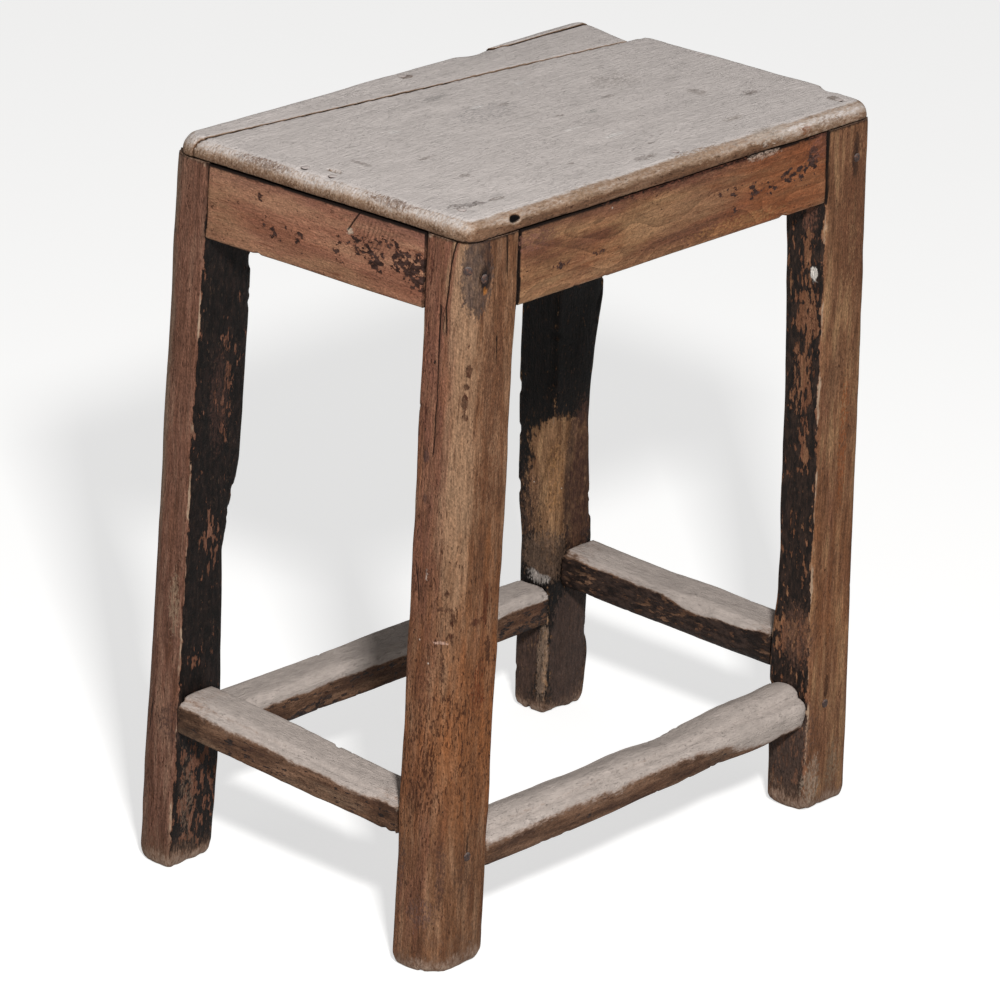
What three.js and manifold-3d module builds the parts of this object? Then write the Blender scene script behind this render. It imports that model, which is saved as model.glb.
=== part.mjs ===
// A joined wooden stool: a seat of three boards on a frame of four splayed legs, four aprons under
// the seat and four stretchers near the floor. The frame is drawn with its legs upright and is
// then splayed as one, so each tenon stays in line with its mortise. Nails are driven last.
// X runs along the seat, Y from the front to the back, and Z up from the floor, in millimetres.
import * as THREE from "three";
import { mergeVertices } from "three/addons/utils/BufferGeometryUtils.js";
import Module from "manifold-3d";

const wasm = await Module();
wasm.setup();

// Driving dimensions of the frame
const FRAME_WIDTH = 402.6; // along X, over the legs' outer faces at their tops
const FRAME_DEPTH = 257.2; // along Y, over the legs' outer faces at their tops
const FRAME_HEIGHT = 488; // floor to the tops of the legs and aprons
const SPLAY_WIDTH = 13.6; // how far each foot stands out along X from under its leg's top
const SPLAY_DEPTH = 6.3; // how far each foot stands out along Y
const LEG_WIDTH = 48; // along X
const LEG_DEPTH = 36.7; // along Y
const ARRIS = 2.5; // the worn radius of a plain long edge
const FOOT_ROUNDING = 2.5; // how far the edge of a foot's sole is worn in
const FOOT_WEAR_HEIGHT = 7; // how high up that wear starts

const APRON_HEIGHT = 50;
const APRON_THICKNESS = 22;
const APRON_ARRIS = 1.2;

// Stretchers: the height of each one's underside over the floor, its section, how far its outer
// face stands in from the legs' outer faces, and how far its front or left end drops and stands
// further in.
const FRONT_STRETCHER = { bottom: 62, height: 28, thickness: 34, setback: 1, drop: 0, skew: 0 };
const BACK_STRETCHER = { bottom: 70.5, height: 27, thickness: 30.5, setback: 6, drop: -3, skew: 0 };
const LEFT_STRETCHER = { bottom: 97, height: 27, thickness: 33, setback: 0, drop: 10, skew: 0 };
const RIGHT_STRETCHER = { bottom: 95.5, height: 28.5, thickness: 36, setback: 0.5, drop: 0, skew: 8 };

// Joints: long tenons on the front and back rails, and stub tenons on the end rails, which stop
// short of the long ones inside each leg.
const TENON_THICKNESS = 9;
const TENON_SETBACK = 10; // from the leg's outer face to the tenon
const TENON_END_WALL = 12; // wood left between a long tenon's end and the leg's outer face
const TENON_WEB = 2.6; // wood left between a stub tenon's end and the long tenon
const APRON_HAUNCH = 16; // wood left in the leg over an apron's tenon
const TENON_SHOULDER = 4; // under an apron's tenon, and over and under a stretcher's
const CLEARANCE = 0.3; // all round each tenon, and at shoulders and board joints

// Driving dimensions of the seat
const SEAT_THICKNESS = 13;
const SEAT_NOSE = 8.5; // radius of the worn upper edge
const SEAT_SETBACK = 0.8; // how far the seat's edge stands in from the frame's faces
const SEAT_CORNER = 12; // corner radius in plan
const JOINT_AT_LEFT = 27; // from the back of the frame to the joint between the two boards
const JOINT_AT_RIGHT = 67;
const JOINT_TURN_LENGTH = 15; // how far from its left end the joint starts to turn to the back
const JOINT_TURN_BACK = 4.5; // and how far back it has turned at that end
const REAR_BOARD_SETBACK = 6; // from the back of the frame to the rear board's edge
const REAR_BOARD_SHORTFALL = 6; // how far its right end stops short of the frame, at the back
const REAR_BOARD_SKEW = 11; // how much further it stops short at the joint
const STRIP_WIDTH = 12; // the split-off strip along the rear board's back edge
const STRIP_START = 97; // where along X the strip begins
const EDGE_NOTCH_DEPTH = 9; // the broken place in the seat's right edge
const EDGE_NOTCH_LENGTH = 20;
const EDGE_NOTCH_FROM_FRONT = 24;

// Driving dimensions of the nails
const NAIL_RADIUS = 1.3;
const NAIL_HEAD_RADIUS = 3.2;
const NAIL_HEAD_THICKNESS = 1.4;
const NAIL_POINT = 5; // length of the tapered point
const NAIL_PROUD = 0.5; // how far a head stands over the wood
const SEAT_NAIL_LENGTH = 27;
const FRAME_NAIL_LENGTH = 26;
const CORNER_NAIL_LENGTH = 17;
const APRON_NAIL_INSET = 16; // along X from the leg's outer face
const STRETCHER_NAIL_INSET = 28.5;
const APRON_NAIL_DEPTH = 25; // from the top of the frame down to an apron's nail
const CORNER_NAIL_DEPTH = 19.5;
const NAIL_SIDES = 10;

// Where the seat nails stand: how far in from the seat's edges, and where along them
const LEFT_NAILS = { inset: 9, rearY: 18, frontY: -5 };
const RIGHT_NAIL = { inset: 11, y: 9 };
const FRONT_NAIL = { inset: 13, x: 11 };
const REAR_NAIL = { fromApronInside: 4, x: 2 };
const FRONT_LEFT_NAIL = { fromLeft: 19, fromFront: 24 };
const FRONT_RIGHT_NAIL = { fromRight: 20, fromFront: 13 };

const HALF_WIDTH = FRAME_WIDTH / 2;
const HALF_DEPTH = FRAME_DEPTH / 2;
const LEG_INNER_X = HALF_WIDTH - LEG_WIDTH;
const LEG_INNER_Y = HALF_DEPTH - LEG_DEPTH;
const LONG_TENON_LENGTH = LEG_WIDTH - TENON_END_WALL;
const STUB_TENON_LENGTH = LEG_DEPTH - TENON_SETBACK - TENON_THICKNESS - TENON_WEB;
const SEAT_UNDERSIDE = FRAME_HEIGHT + CLEARANCE;
const SEAT_TOP = FRAME_HEIGHT + SEAT_THICKNESS;
const LARGEST_NOSE = Math.min(SEAT_THICKNESS - 1, SEAT_CORNER - 2); // what the board's edge can take
const NOSE = Math.min(SEAT_NOSE, LARGEST_NOSE);

// A closed mesh as a solid, with its faces turned out.
function solidOf(geometry) {
  const bare = geometry.clone();
  bare.deleteAttribute("normal");
  bare.deleteAttribute("uv");
  const merged = mergeVertices(bare, 1e-4);
  const points = merged.getAttribute("position").array;
  const corners = new Uint32Array(merged.index.array);
  if (signedVolume(points, corners) < 0) {
    corners.reverse();
  }
  return new wasm.Manifold(
    new wasm.Mesh({ numProp: 3, vertProperties: points, triVerts: corners }),
  );
}

function signedVolume(points, corners) {
  const [a, b, c] = [new THREE.Vector3(), new THREE.Vector3(), new THREE.Vector3()];
  let sum = 0;
  for (let i = 0; i < corners.length; i += 3) {
    a.fromArray(points, 3 * corners[i]);
    b.fromArray(points, 3 * corners[i + 1]);
    c.fromArray(points, 3 * corners[i + 2]);
    sum += a.dot(b.cross(c)) / 6;
  }
  return sum;
}

function geometryOf(solid) {
  const mesh = solid.getMesh();
  const geometry = new THREE.BufferGeometry();
  geometry.setAttribute("position", new THREE.BufferAttribute(mesh.vertProperties, 3));
  geometry.setIndex(new THREE.BufferAttribute(mesh.triVerts, 1));
  geometry.computeVertexNormals();
  return geometry;
}

// Every vertex moved to the place that a function gives for it.
function reshape(geometry, place) {
  const positions = geometry.getAttribute("position");
  const point = new THREE.Vector3();
  for (let i = 0; i < positions.count; i++) {
    point.fromBufferAttribute(positions, i);
    positions.setXYZ(i, ...place(point.x, point.y, point.z));
  }
  return geometry;
}

function block(low, high) {
  const size = high.map((value, axis) => value - low[axis]);
  const centre = high.map((value, axis) => (value + low[axis]) / 2);
  return solidOf(new THREE.BoxGeometry(...size).translate(...centre));
}

// A rectangle with a radius of its own at each corner, from (0, 0) anticlockwise. A large radius
// has more chords than a small one.
const SMALL_RADIUS = 5;
const CHORDS = { small: 2, large: 6 };
function roundedRectangle(width, height, radii) {
  const corners = [[0, 0], [1, 0], [1, 1], [0, 1]];
  const outline = [];
  corners.forEach(([right, top], corner) => {
    const radius = radii[corner];
    const chords = radius > SMALL_RADIUS ? CHORDS.large : CHORDS.small;
    const centreX = right ? width - radius : radius;
    const centreY = top ? height - radius : radius;
    for (let i = 0; i <= chords; i++) {
      const angle = Math.PI + ((corner + i / chords) * Math.PI) / 2;
      const x = centreX + radius * Math.cos(angle);
      const y = centreY + radius * Math.sin(angle);
      outline.push(new THREE.Vector2(x, y));
    }
  });
  return new THREE.Shape(outline);
}

// A section run through a list of stations; place gives the point for a station's value.
function throughStations(shape, stations, place) {
  const steps = stations.length - 1;
  const settings = { depth: steps, steps, bevelEnabled: false };
  return reshape(new THREE.ExtrudeGeometry(shape, settings), (a, b, index) =>
    place(a, b, stations[Math.round(index)]),
  );
}

// The depth of wear at a place, eased between the places where it is given.
function wearAt(profile, place) {
  const next = profile.findIndex(([at]) => at >= place);
  if (next <= 0) {
    return profile.at(next)[1];
  }
  const [[from, start], [to, end]] = [profile[next - 1], profile[next]];
  const share = THREE.MathUtils.smoothstep(place, from, to);
  return THREE.MathUtils.lerp(start, end, share);
}

// The splay: the legs lean out by a fixed run over the frame's height, and what joins them
// stretches between them.
function splay(x, y, z) {
  const below = Math.max(0, 1 - z / FRAME_HEIGHT);
  const shareX = THREE.MathUtils.clamp(x / LEG_INNER_X, -1, 1);
  const shareY = THREE.MathUtils.clamp(y / LEG_INNER_Y, -1, 1);
  return [x + shareX * SPLAY_WIDTH * below, y + shareY * SPLAY_DEPTH * below, z];
}

function splayed(solid) {
  return solidOf(reshape(geometryOf(solid), splay));
}

// Legs: square posts with a rounded outer corner. Wear is given as pairs of height and depth: on
// the inner arris, along X and along Y, and on the far arris of either outer face.
const LEGS = [
  {
    name: "front_left_leg",
    side: [-1, -1],
    corner: 21,
    innerX: [[0, 2], [60, 0.5], [250, 0], [FRAME_HEIGHT, 0]],
    innerY: [[0, 3], [164, 2], [335, 2.5], [FRAME_HEIGHT, 0]],
  },
  {
    name: "front_right_leg",
    side: [1, -1],
    corner: 8,
    innerX: [[0, -3], [110, -3], [200, -1], [300, 2], [FRAME_HEIGHT, 0]],
    innerY: [[0, 5], [117, 4], [172, 8], [227, 6], [354, 4], [FRAME_HEIGHT, 0]],
  },
  {
    name: "back_left_leg",
    side: [-1, 1],
    corner: 19,
    innerX: [[0, 6], [60, 4], [115, 6], [169, 9], [216, 13], [285, 0], [FRAME_HEIGHT, 0]],
  },
  {
    name: "back_right_leg",
    side: [1, 1],
    corner: 14,
    innerX: [[0, 0], [90, 2], [200, 5], [300, 4], [430, 0], [FRAME_HEIGHT, 0]],
    innerY: [[0, 1], [90, 3], [200, 6], [300, 6], [430, 0], [FRAME_HEIGHT, 0]],
    outerX: [[0, 6], [41, 1], [74, 6], [122, 3], [219, 12], [264, 9], [304, 0], [FRAME_HEIGHT, 0]],
    outerY: [[0, 8], [56, 7], [122, 9], [144, 4], [204, 1], [254, 0], [FRAME_HEIGHT, 0]],
  },
];
const LEG_STATIONS = 16;
const LARGEST_CORNER = Math.min(LEG_WIDTH / 2, LEG_DEPTH / 2 + TENON_SETBACK);

const UNWORN = [[0, 0], [FRAME_HEIGHT, 0]];

function legBlank(leg) {
  const { side: [sideX, sideY], corner, innerX = UNWORN, innerY = UNWORN } = leg;
  const { outerX = UNWORN, outerY = UNWORN } = leg;
  const radius = Math.min(corner, LARGEST_CORNER);
  const section = roundedRectangle(LEG_WIDTH, LEG_DEPTH, [radius, ARRIS, ARRIS, ARRIS]);
  const rise = (FRAME_HEIGHT - FOOT_WEAR_HEIGHT) / LEG_STATIONS;
  const heights = [0, FOOT_WEAR_HEIGHT / 3, FOOT_WEAR_HEIGHT];
  for (let i = 1; i <= LEG_STATIONS; i++) {
    heights.push(FOOT_WEAR_HEIGHT + i * rise);
  }
  const blank = throughStations(section, heights, (u, v, z) => {
    const inX = u / LEG_WIDTH;
    const inY = v / LEG_DEPTH;
    const nearSole = 1 - Math.min(1, z / FOOT_WEAR_HEIGHT);
    const sole = FOOT_ROUNDING * nearSole * nearSole;
    const wornX = wearAt(outerX, z) * (1 - inX) * inY - wearAt(innerX, z) * inX * inY;
    const wornY = wearAt(outerY, z) * inX * (1 - inY) - wearAt(innerY, z) * inX * inY;
    const x = u + wornX + sole * (1 - 2 * inX);
    const y = v + wornY + sole * (1 - 2 * inY);
    return [sideX * (HALF_WIDTH - x), sideY * (HALF_DEPTH - y), z];
  });
  return solidOf(blank);
}

// How far in a leg's front or back face lies from its flat, at an inset from the outer corner:
// first for the corner's rounding, then for the wear.
function faceDepth({ corner, outerY = UNWORN }, inset, z) {
  const radius = Math.min(corner, LARGEST_CORNER);
  const short = Math.max(0, radius - inset);
  const rounding = radius - Math.sqrt(radius ** 2 - short ** 2);
  return rounding + (wearAt(outerY, z) * inset) / LEG_WIDTH;
}

// Rails: aprons and stretchers. A front or back rail runs along X and an end rail along Y, and
// each is drawn from the legs' outer faces inwards, with a tenon into the leg at either end.
const apron = {
  stations: 1,
  bottom: FRAME_HEIGHT - APRON_HEIGHT,
  height: APRON_HEIGHT,
  thickness: APRON_THICKNESS,
  setback: 0,
  drop: 0,
  skew: 0,
  haunch: APRON_HAUNCH,
  radii: [APRON_ARRIS, APRON_ARRIS, APRON_ARRIS, APRON_ARRIS],
  wear: [[0, 0], [1, 0]],
};
const stretcher = { stations: 10, haunch: TENON_SHOULDER, wear: [[0, 0], [1, 0]] };
const RAILS = [
  { name: "front_apron", end: false, side: -1, ...apron },
  { name: "back_apron", end: false, side: 1, ...apron },
  { name: "left_apron", end: true, side: -1, ...apron },
  { name: "right_apron", end: true, side: 1, ...apron },
  {
    name: "front_stretcher",
    end: false,
    side: -1,
    ...stretcher,
    ...FRONT_STRETCHER,
    radii: [3, 4, 9, 11],
    wear: [[0, 0], [0.25, 2], [0.45, 1], [0.62, 4], [0.8, 1], [1, 0]],
  },
  {
    name: "back_stretcher",
    end: false,
    side: 1,
    ...stretcher,
    ...BACK_STRETCHER,
    radii: [2, 2, 4, 4],
  },
  {
    name: "left_stretcher",
    end: true,
    side: -1,
    ...stretcher,
    ...LEFT_STRETCHER,
    radii: [3, 3, 3, 8],
    wear: [[0, 4], [0.3, 3], [0.7, 0], [1, 0]],
  },
  {
    name: "right_stretcher",
    end: true,
    side: 1,
    ...stretcher,
    ...RIGHT_STRETCHER,
    radii: [3, 5, 5, 4],
    wear: [[0, 2], [0.4, 0.5], [0.6, 2], [1, 0]],
  },
];
// Where a rail's point lies: along is measured from the middle of the rail, depth inwards from
// the legs' outer faces.
function railPlace({ end, side, drop, skew }, along, depth, z) {
  const halfLength = end ? LEG_INNER_Y : LEG_INNER_X;
  const towardLowEnd = (1 - along / halfLength) / 2;
  const inward = depth + skew * towardLowEnd;
  const height = z - drop * towardLowEnd;
  if (end) {
    return [side * (HALF_WIDTH - inward), along, height];
  }
  return [along, side * (HALF_DEPTH - inward), height];
}

// A rail between its shoulders, grown by a clearance where it cuts its housing in a swollen leg.
function railBody(rail, grow) {
  const { end, stations: count, bottom, height, thickness, setback, radii, wear } = rail;
  const halfLength = (end ? LEG_INNER_Y : LEG_INNER_X) - CLEARANCE + grow;
  const stations = [];
  for (let i = 0; i <= count; i++) {
    stations.push(-halfLength + (2 * halfLength * i) / count);
  }
  const section = roundedRectangle(thickness + 2 * grow, height + 2 * grow, radii);
  const body = throughStations(section, stations, (depth, z, along) => {
    const worn = wearAt(wear, (along / halfLength + 1) / 2) * (z / height);
    return railPlace(rail, along, setback + depth - grow, bottom + z - grow - worn);
  });
  return solidOf(body);
}

// A rail's tenon at one end, grown by a clearance where it cuts its mortise.
function tenon(rail, direction, grow) {
  const { end, bottom, height, haunch } = rail;
  const shoulder = end ? LEG_INNER_Y : LEG_INNER_X;
  const length = end ? STUB_TENON_LENGTH : LONG_TENON_LENGTH;
  const root = shoulder - TENON_SHOULDER;
  const corners = new THREE.BoxGeometry(
    length + TENON_SHOULDER + grow,
    TENON_THICKNESS + 2 * grow,
    height - haunch - TENON_SHOULDER + 2 * grow,
  );
  corners.translate(
    root + (length + TENON_SHOULDER + grow) / 2,
    TENON_SETBACK + TENON_THICKNESS / 2,
    bottom + (height - haunch + TENON_SHOULDER) / 2,
  );
  return solidOf(
    reshape(corners, (along, depth, z) => railPlace(rail, direction * along, depth, z)),
  );
}

// The seat boards, with the upper edge rounded over: each is drawn double, rounded above and
// below, and its lower half is left out.
function board(outline) {
  const settings = {
    depth: 2 * (SEAT_THICKNESS - NOSE),
    bevelThickness: NOSE,
    bevelSize: NOSE,
    bevelOffset: -NOSE,
    bevelSegments: 4,
    curveSegments: 4,
  };
  const blank = new THREE.ExtrudeGeometry(outline, settings);
  blank.translate(0, 0, FRAME_HEIGHT - SEAT_THICKNESS + NOSE);
  return solidOf(blank).intersect(everythingAbove(SEAT_UNDERSIDE));
}

function everythingAbove(z) {
  return block([-FRAME_WIDTH, -FRAME_DEPTH, z], [FRAME_WIDTH, FRAME_DEPTH, z + FRAME_HEIGHT]);
}

// A region of the seat's plan as a tall prism, for cutting boards along their joints.
function planPrism(shape) {
  const settings = { depth: 4 * SEAT_THICKNESS, bevelEnabled: false, curveSegments: 6 };
  const prism = new THREE.ExtrudeGeometry(shape, settings);
  return solidOf(prism.translate(0, 0, FRAME_HEIGHT - SEAT_THICKNESS));
}

const seatLeft = -(HALF_WIDTH - SEAT_SETBACK);
const seatRight = HALF_WIDTH - SEAT_SETBACK;
const seatFront = -(HALF_DEPTH - SEAT_SETBACK);
const seatBack = HALF_DEPTH - REAR_BOARD_SETBACK;

// The joint's place along Y at a place along X.
function jointAt(x) {
  const share = (x - seatLeft) / (seatRight - seatLeft);
  return HALF_DEPTH - THREE.MathUtils.lerp(JOINT_AT_LEFT, JOINT_AT_RIGHT, share);
}

// The main board's side of the joint, moved back by a gap where it cuts the rear board. The joint
// is straight but for a short turn to the back at its left end.
function mainSideOfJoint(gap) {
  const far = 2 * FRAME_WIDTH;
  const turnStart = seatLeft + JOINT_TURN_LENGTH;
  const turnMiddle = seatLeft + JOINT_TURN_LENGTH / 3;
  const leftEnd = jointAt(seatLeft) + JOINT_TURN_BACK + gap;
  const shape = new THREE.Shape();
  shape.moveTo(far, -far);
  shape.lineTo(far, jointAt(far) + gap);
  shape.lineTo(turnStart, jointAt(turnStart) + gap);
  shape.quadraticCurveTo(turnMiddle, jointAt(turnMiddle) + gap, seatLeft, leftEnd);
  shape.lineTo(seatLeft - far, leftEnd);
  shape.lineTo(seatLeft - far, -far);
  return planPrism(shape);
}

function mainBoard() {
  const overrun = 2 * NOSE + HALF_DEPTH;
  const notchStart = seatFront + EDGE_NOTCH_FROM_FRONT;
  const notchEnd = notchStart + EDGE_NOTCH_LENGTH;
  const notchFloor = seatRight - EDGE_NOTCH_DEPTH;
  const outline = new THREE.Shape();
  outline.moveTo(seatLeft + SEAT_CORNER, seatFront);
  outline.lineTo(seatRight - SEAT_CORNER, seatFront);
  outline.absarc(seatRight - SEAT_CORNER, seatFront + SEAT_CORNER, SEAT_CORNER, -Math.PI / 2, 0);
  outline.lineTo(seatRight, overrun);
  outline.lineTo(seatLeft, overrun);
  outline.lineTo(seatLeft, seatFront + SEAT_CORNER);
  outline.absarc(seatLeft + SEAT_CORNER, seatFront + SEAT_CORNER, SEAT_CORNER, Math.PI, Math.PI * 1.5);
  const notch = new THREE.Shape();
  notch.moveTo(seatRight + NOSE, notchStart);
  notch.lineTo(seatRight + NOSE, notchEnd + NOSE);
  notch.lineTo(seatRight, notchEnd);
  notch.lineTo(notchFloor, notchEnd - EDGE_NOTCH_LENGTH / 3);
  notch.lineTo(notchFloor, notchStart + EDGE_NOTCH_LENGTH / 6);
  notch.lineTo(seatRight, notchStart);
  return board(outline).intersect(mainSideOfJoint(0)).subtract(planPrism(notch));
}

// Both rear pieces in one blank, with its joint edge running past the joint.
function rearBlank() {
  const endAtBack = seatRight - REAR_BOARD_SHORTFALL;
  const endAtJoint = endAtBack - REAR_BOARD_SKEW;
  const overrun = 4 * NOSE;
  const jointY = jointAt(endAtJoint);
  const outline = new THREE.Shape();
  outline.moveTo(endAtJoint, jointY - overrun);
  outline.lineTo(endAtJoint, jointY);
  outline.lineTo(endAtBack, seatBack - SEAT_CORNER);
  outline.quadraticCurveTo(endAtBack, seatBack, endAtBack - SEAT_CORNER, seatBack);
  outline.lineTo(seatLeft + SEAT_CORNER, seatBack);
  outline.quadraticCurveTo(seatLeft, seatBack, seatLeft, seatBack - SEAT_CORNER);
  outline.lineTo(seatLeft, jointAt(seatLeft) - overrun);
  return board(outline).subtract(mainSideOfJoint(CLEARANCE));
}

// The strip's side of the split along the rear board's back edge.
function stripSide(gap) {
  const inner = seatBack - STRIP_WIDTH - gap;
  const shape = new THREE.Shape();
  shape.moveTo(STRIP_START - gap, 2 * HALF_DEPTH);
  shape.lineTo(STRIP_START - gap, seatBack - STRIP_WIDTH / 3 - gap);
  shape.lineTo(STRIP_START + STRIP_WIDTH - gap, inner);
  shape.lineTo(FRAME_WIDTH, inner);
  shape.lineTo(FRAME_WIDTH, 2 * HALF_DEPTH);
  return planPrism(shape);
}

// Nails: turned heads on round shanks. Each is set by the place of its head on the wood and by
// the direction that the head faces.
function nailProfile(length, grow) {
  const underHead = length - NAIL_HEAD_THICKNESS - grow;
  const crown = length + grow;
  const edge = length - NAIL_HEAD_THICKNESS / 2 + grow;
  return [
    new THREE.Vector2(0, -grow),
    new THREE.Vector2(NAIL_RADIUS / 3 + grow, 0),
    new THREE.Vector2(NAIL_RADIUS + grow, NAIL_POINT),
    new THREE.Vector2(NAIL_RADIUS + grow, underHead),
    new THREE.Vector2(NAIL_HEAD_RADIUS + grow, underHead),
    new THREE.Vector2(NAIL_HEAD_RADIUS + grow, edge),
    new THREE.Vector2(NAIL_HEAD_RADIUS / 2, crown),
    new THREE.Vector2(0, crown),
  ];
}

function nail({ at, facing, length }, grow) {
  const outward = new THREE.Vector3(...facing).normalize();
  const turned = new THREE.Quaternion().setFromUnitVectors(new THREE.Vector3(0, 0, 1), outward);
  const geometry = new THREE.LatheGeometry(nailProfile(length, grow), NAIL_SIDES);
  geometry.rotateX(Math.PI / 2);
  geometry.translate(0, 0, NAIL_PROUD - length);
  geometry.applyQuaternion(turned);
  return solidOf(geometry.translate(...at));
}

const seatNail = (x, y) => ({ at: [x, y, SEAT_TOP], facing: [0, 0, 1], length: SEAT_NAIL_LENGTH });
function frameNail(leg, inset, z) {
  const [sideX, sideY] = leg.side;
  const faceY = HALF_DEPTH - faceDepth(leg, inset, z);
  const at = splay(sideX * (HALF_WIDTH - inset), sideY * faceY, z);
  return { at, facing: [0, sideY, 0], length: FRAME_NAIL_LENGTH };
}
const apronNail = (leg) => frameNail(leg, APRON_NAIL_INSET, FRAME_HEIGHT - APRON_NAIL_DEPTH);
const stretcherNail = (leg, { bottom, height }) =>
  frameNail(leg, STRETCHER_NAIL_INSET, bottom + height / 2);
const [frontLeft, frontRight, backLeft, backRight] = LEGS;

// The corner nail stands on the front left leg's rounded corner and faces out along its diagonal.
const cornerInset = frontLeft.corner * (1 - Math.SQRT1_2);
const NAILS = {
  seat_nail_left_rear: seatNail(seatLeft + LEFT_NAILS.inset, LEFT_NAILS.rearY),
  seat_nail_left_front: seatNail(seatLeft + LEFT_NAILS.inset, LEFT_NAILS.frontY),
  seat_nail_right: seatNail(seatRight - RIGHT_NAIL.inset, RIGHT_NAIL.y),
  seat_nail_front: seatNail(FRONT_NAIL.x, seatFront + FRONT_NAIL.inset),
  seat_nail_rear: seatNail(REAR_NAIL.x, HALF_DEPTH - APRON_THICKNESS + REAR_NAIL.fromApronInside),
  seat_nail_front_left: seatNail(
    seatLeft + FRONT_LEFT_NAIL.fromLeft,
    seatFront + FRONT_LEFT_NAIL.fromFront,
  ),
  seat_nail_front_right: seatNail(
    seatRight - FRONT_RIGHT_NAIL.fromRight,
    seatFront + FRONT_RIGHT_NAIL.fromFront,
  ),
  apron_nail_front_left: apronNail(frontLeft),
  apron_nail_front_right: apronNail(frontRight),
  apron_nail_back_left: apronNail(backLeft),
  apron_nail_back_right: apronNail(backRight),
  corner_nail_front_left: {
    at: splay(cornerInset - HALF_WIDTH, cornerInset - HALF_DEPTH, FRAME_HEIGHT - CORNER_NAIL_DEPTH),
    facing: [-1, -1, 0],
    length: CORNER_NAIL_LENGTH,
  },
  stretcher_nail_front_left: stretcherNail(frontLeft, FRONT_STRETCHER),
  stretcher_nail_front_right: stretcherNail(frontRight, FRONT_STRETCHER),
  stretcher_nail_back_left: stretcherNail(backLeft, BACK_STRETCHER),
  stretcher_nail_back_right: stretcherNail(backRight, BACK_STRETCHER),
};

// The finishes: worn hardwood, dusty on top, and rusted iron.
const outerWood = new THREE.MeshStandardMaterial({ color: 0x8a5a3c, roughness: 0.75, metalness: 0 });
const backWood = new THREE.MeshStandardMaterial({ color: 0x5c3d2e, roughness: 0.85, metalness: 0 });
const apronWood = new THREE.MeshStandardMaterial({ color: 0x8f5637, roughness: 0.7, metalness: 0 });
const stretcherWood = new THREE.MeshStandardMaterial({ color: 0x83705f, roughness: 0.9, metalness: 0 });
const seatWood = new THREE.MeshStandardMaterial({ color: 0x9a8c80, roughness: 0.9, metalness: 0 });
const nailIron = new THREE.MeshStandardMaterial({ color: 0x4a3f3c, roughness: 0.7, metalness: 0.8 });

// The wooden pieces: rails with their tenons, legs with their mortises, then the seat boards.
const wood = new Map();
for (const rail of RAILS) {
  const body = railBody(rail, 0).add(tenon(rail, -1, 0)).add(tenon(rail, 1, 0));
  const material = rail.name.endsWith("apron") ? apronWood : stretcherWood;
  wood.set(rail.name, { solid: splayed(body), material });
}
for (const leg of LEGS) {
  let post = legBlank(leg);
  for (const rail of RAILS) {
    post = post.subtract(tenon(rail, -1, CLEARANCE)).subtract(tenon(rail, 1, CLEARANCE));
    post = post.subtract(railBody(rail, CLEARANCE));
  }
  const material = leg.side[1] < 0 ? outerWood : backWood;
  wood.set(leg.name, { solid: splayed(post), material });
}
wood.set("seat_board_main", { solid: mainBoard(), material: seatWood });
wood.set("seat_board_rear", { solid: rearBlank().subtract(stripSide(CLEARANCE)), material: seatWood });
wood.set("seat_board_strip", { solid: rearBlank().intersect(stripSide(0)), material: seatWood });

// Every piece of wood that a nail meets is bored for it, with a clearance.
for (const driven of Object.values(NAILS)) {
  const bore = nail(driven, CLEARANCE);
  for (const piece of wood.values()) {
    piece.solid = piece.solid.subtract(bore);
  }
}

const stool = new THREE.Group();
function addPiece(name, solid, material) {
  const mesh = new THREE.Mesh(geometryOf(solid), material.clone());
  mesh.name = name;
  stool.add(mesh);
}
for (const [name, { solid, material }] of wood) {
  addPiece(name, solid, material);
}
for (const [name, driven] of Object.entries(NAILS)) {
  addPiece(name, nail(driven, 0), nailIron);
}

export default stool;
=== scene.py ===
# An old joined stool of brown tropical hardwood, half a metre high. Four splayed legs carry four
# aprons and four stretchers in mortise and tenon joints, and a seat of two boards is nailed on.
# Sizes are in millimetres, and they turn into metres only where Blender is given them.
from itertools import count, product
from math import cos, radians, sin

import bpy
import numpy as np
from mathutils import Matrix, Vector


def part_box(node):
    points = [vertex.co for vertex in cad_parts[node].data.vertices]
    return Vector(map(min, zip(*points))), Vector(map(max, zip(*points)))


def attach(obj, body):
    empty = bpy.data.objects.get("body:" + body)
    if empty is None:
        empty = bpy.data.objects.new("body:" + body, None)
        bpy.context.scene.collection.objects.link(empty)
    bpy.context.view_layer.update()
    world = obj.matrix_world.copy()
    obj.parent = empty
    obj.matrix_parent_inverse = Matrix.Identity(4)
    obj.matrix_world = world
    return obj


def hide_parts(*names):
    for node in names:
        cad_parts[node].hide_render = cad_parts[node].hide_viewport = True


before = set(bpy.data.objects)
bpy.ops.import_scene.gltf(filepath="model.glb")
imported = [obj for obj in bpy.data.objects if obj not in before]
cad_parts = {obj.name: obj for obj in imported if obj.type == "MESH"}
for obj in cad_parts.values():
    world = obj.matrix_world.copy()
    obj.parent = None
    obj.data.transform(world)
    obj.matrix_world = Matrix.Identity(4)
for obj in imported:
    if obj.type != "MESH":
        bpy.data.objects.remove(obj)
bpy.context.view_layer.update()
MM = 0.001

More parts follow.
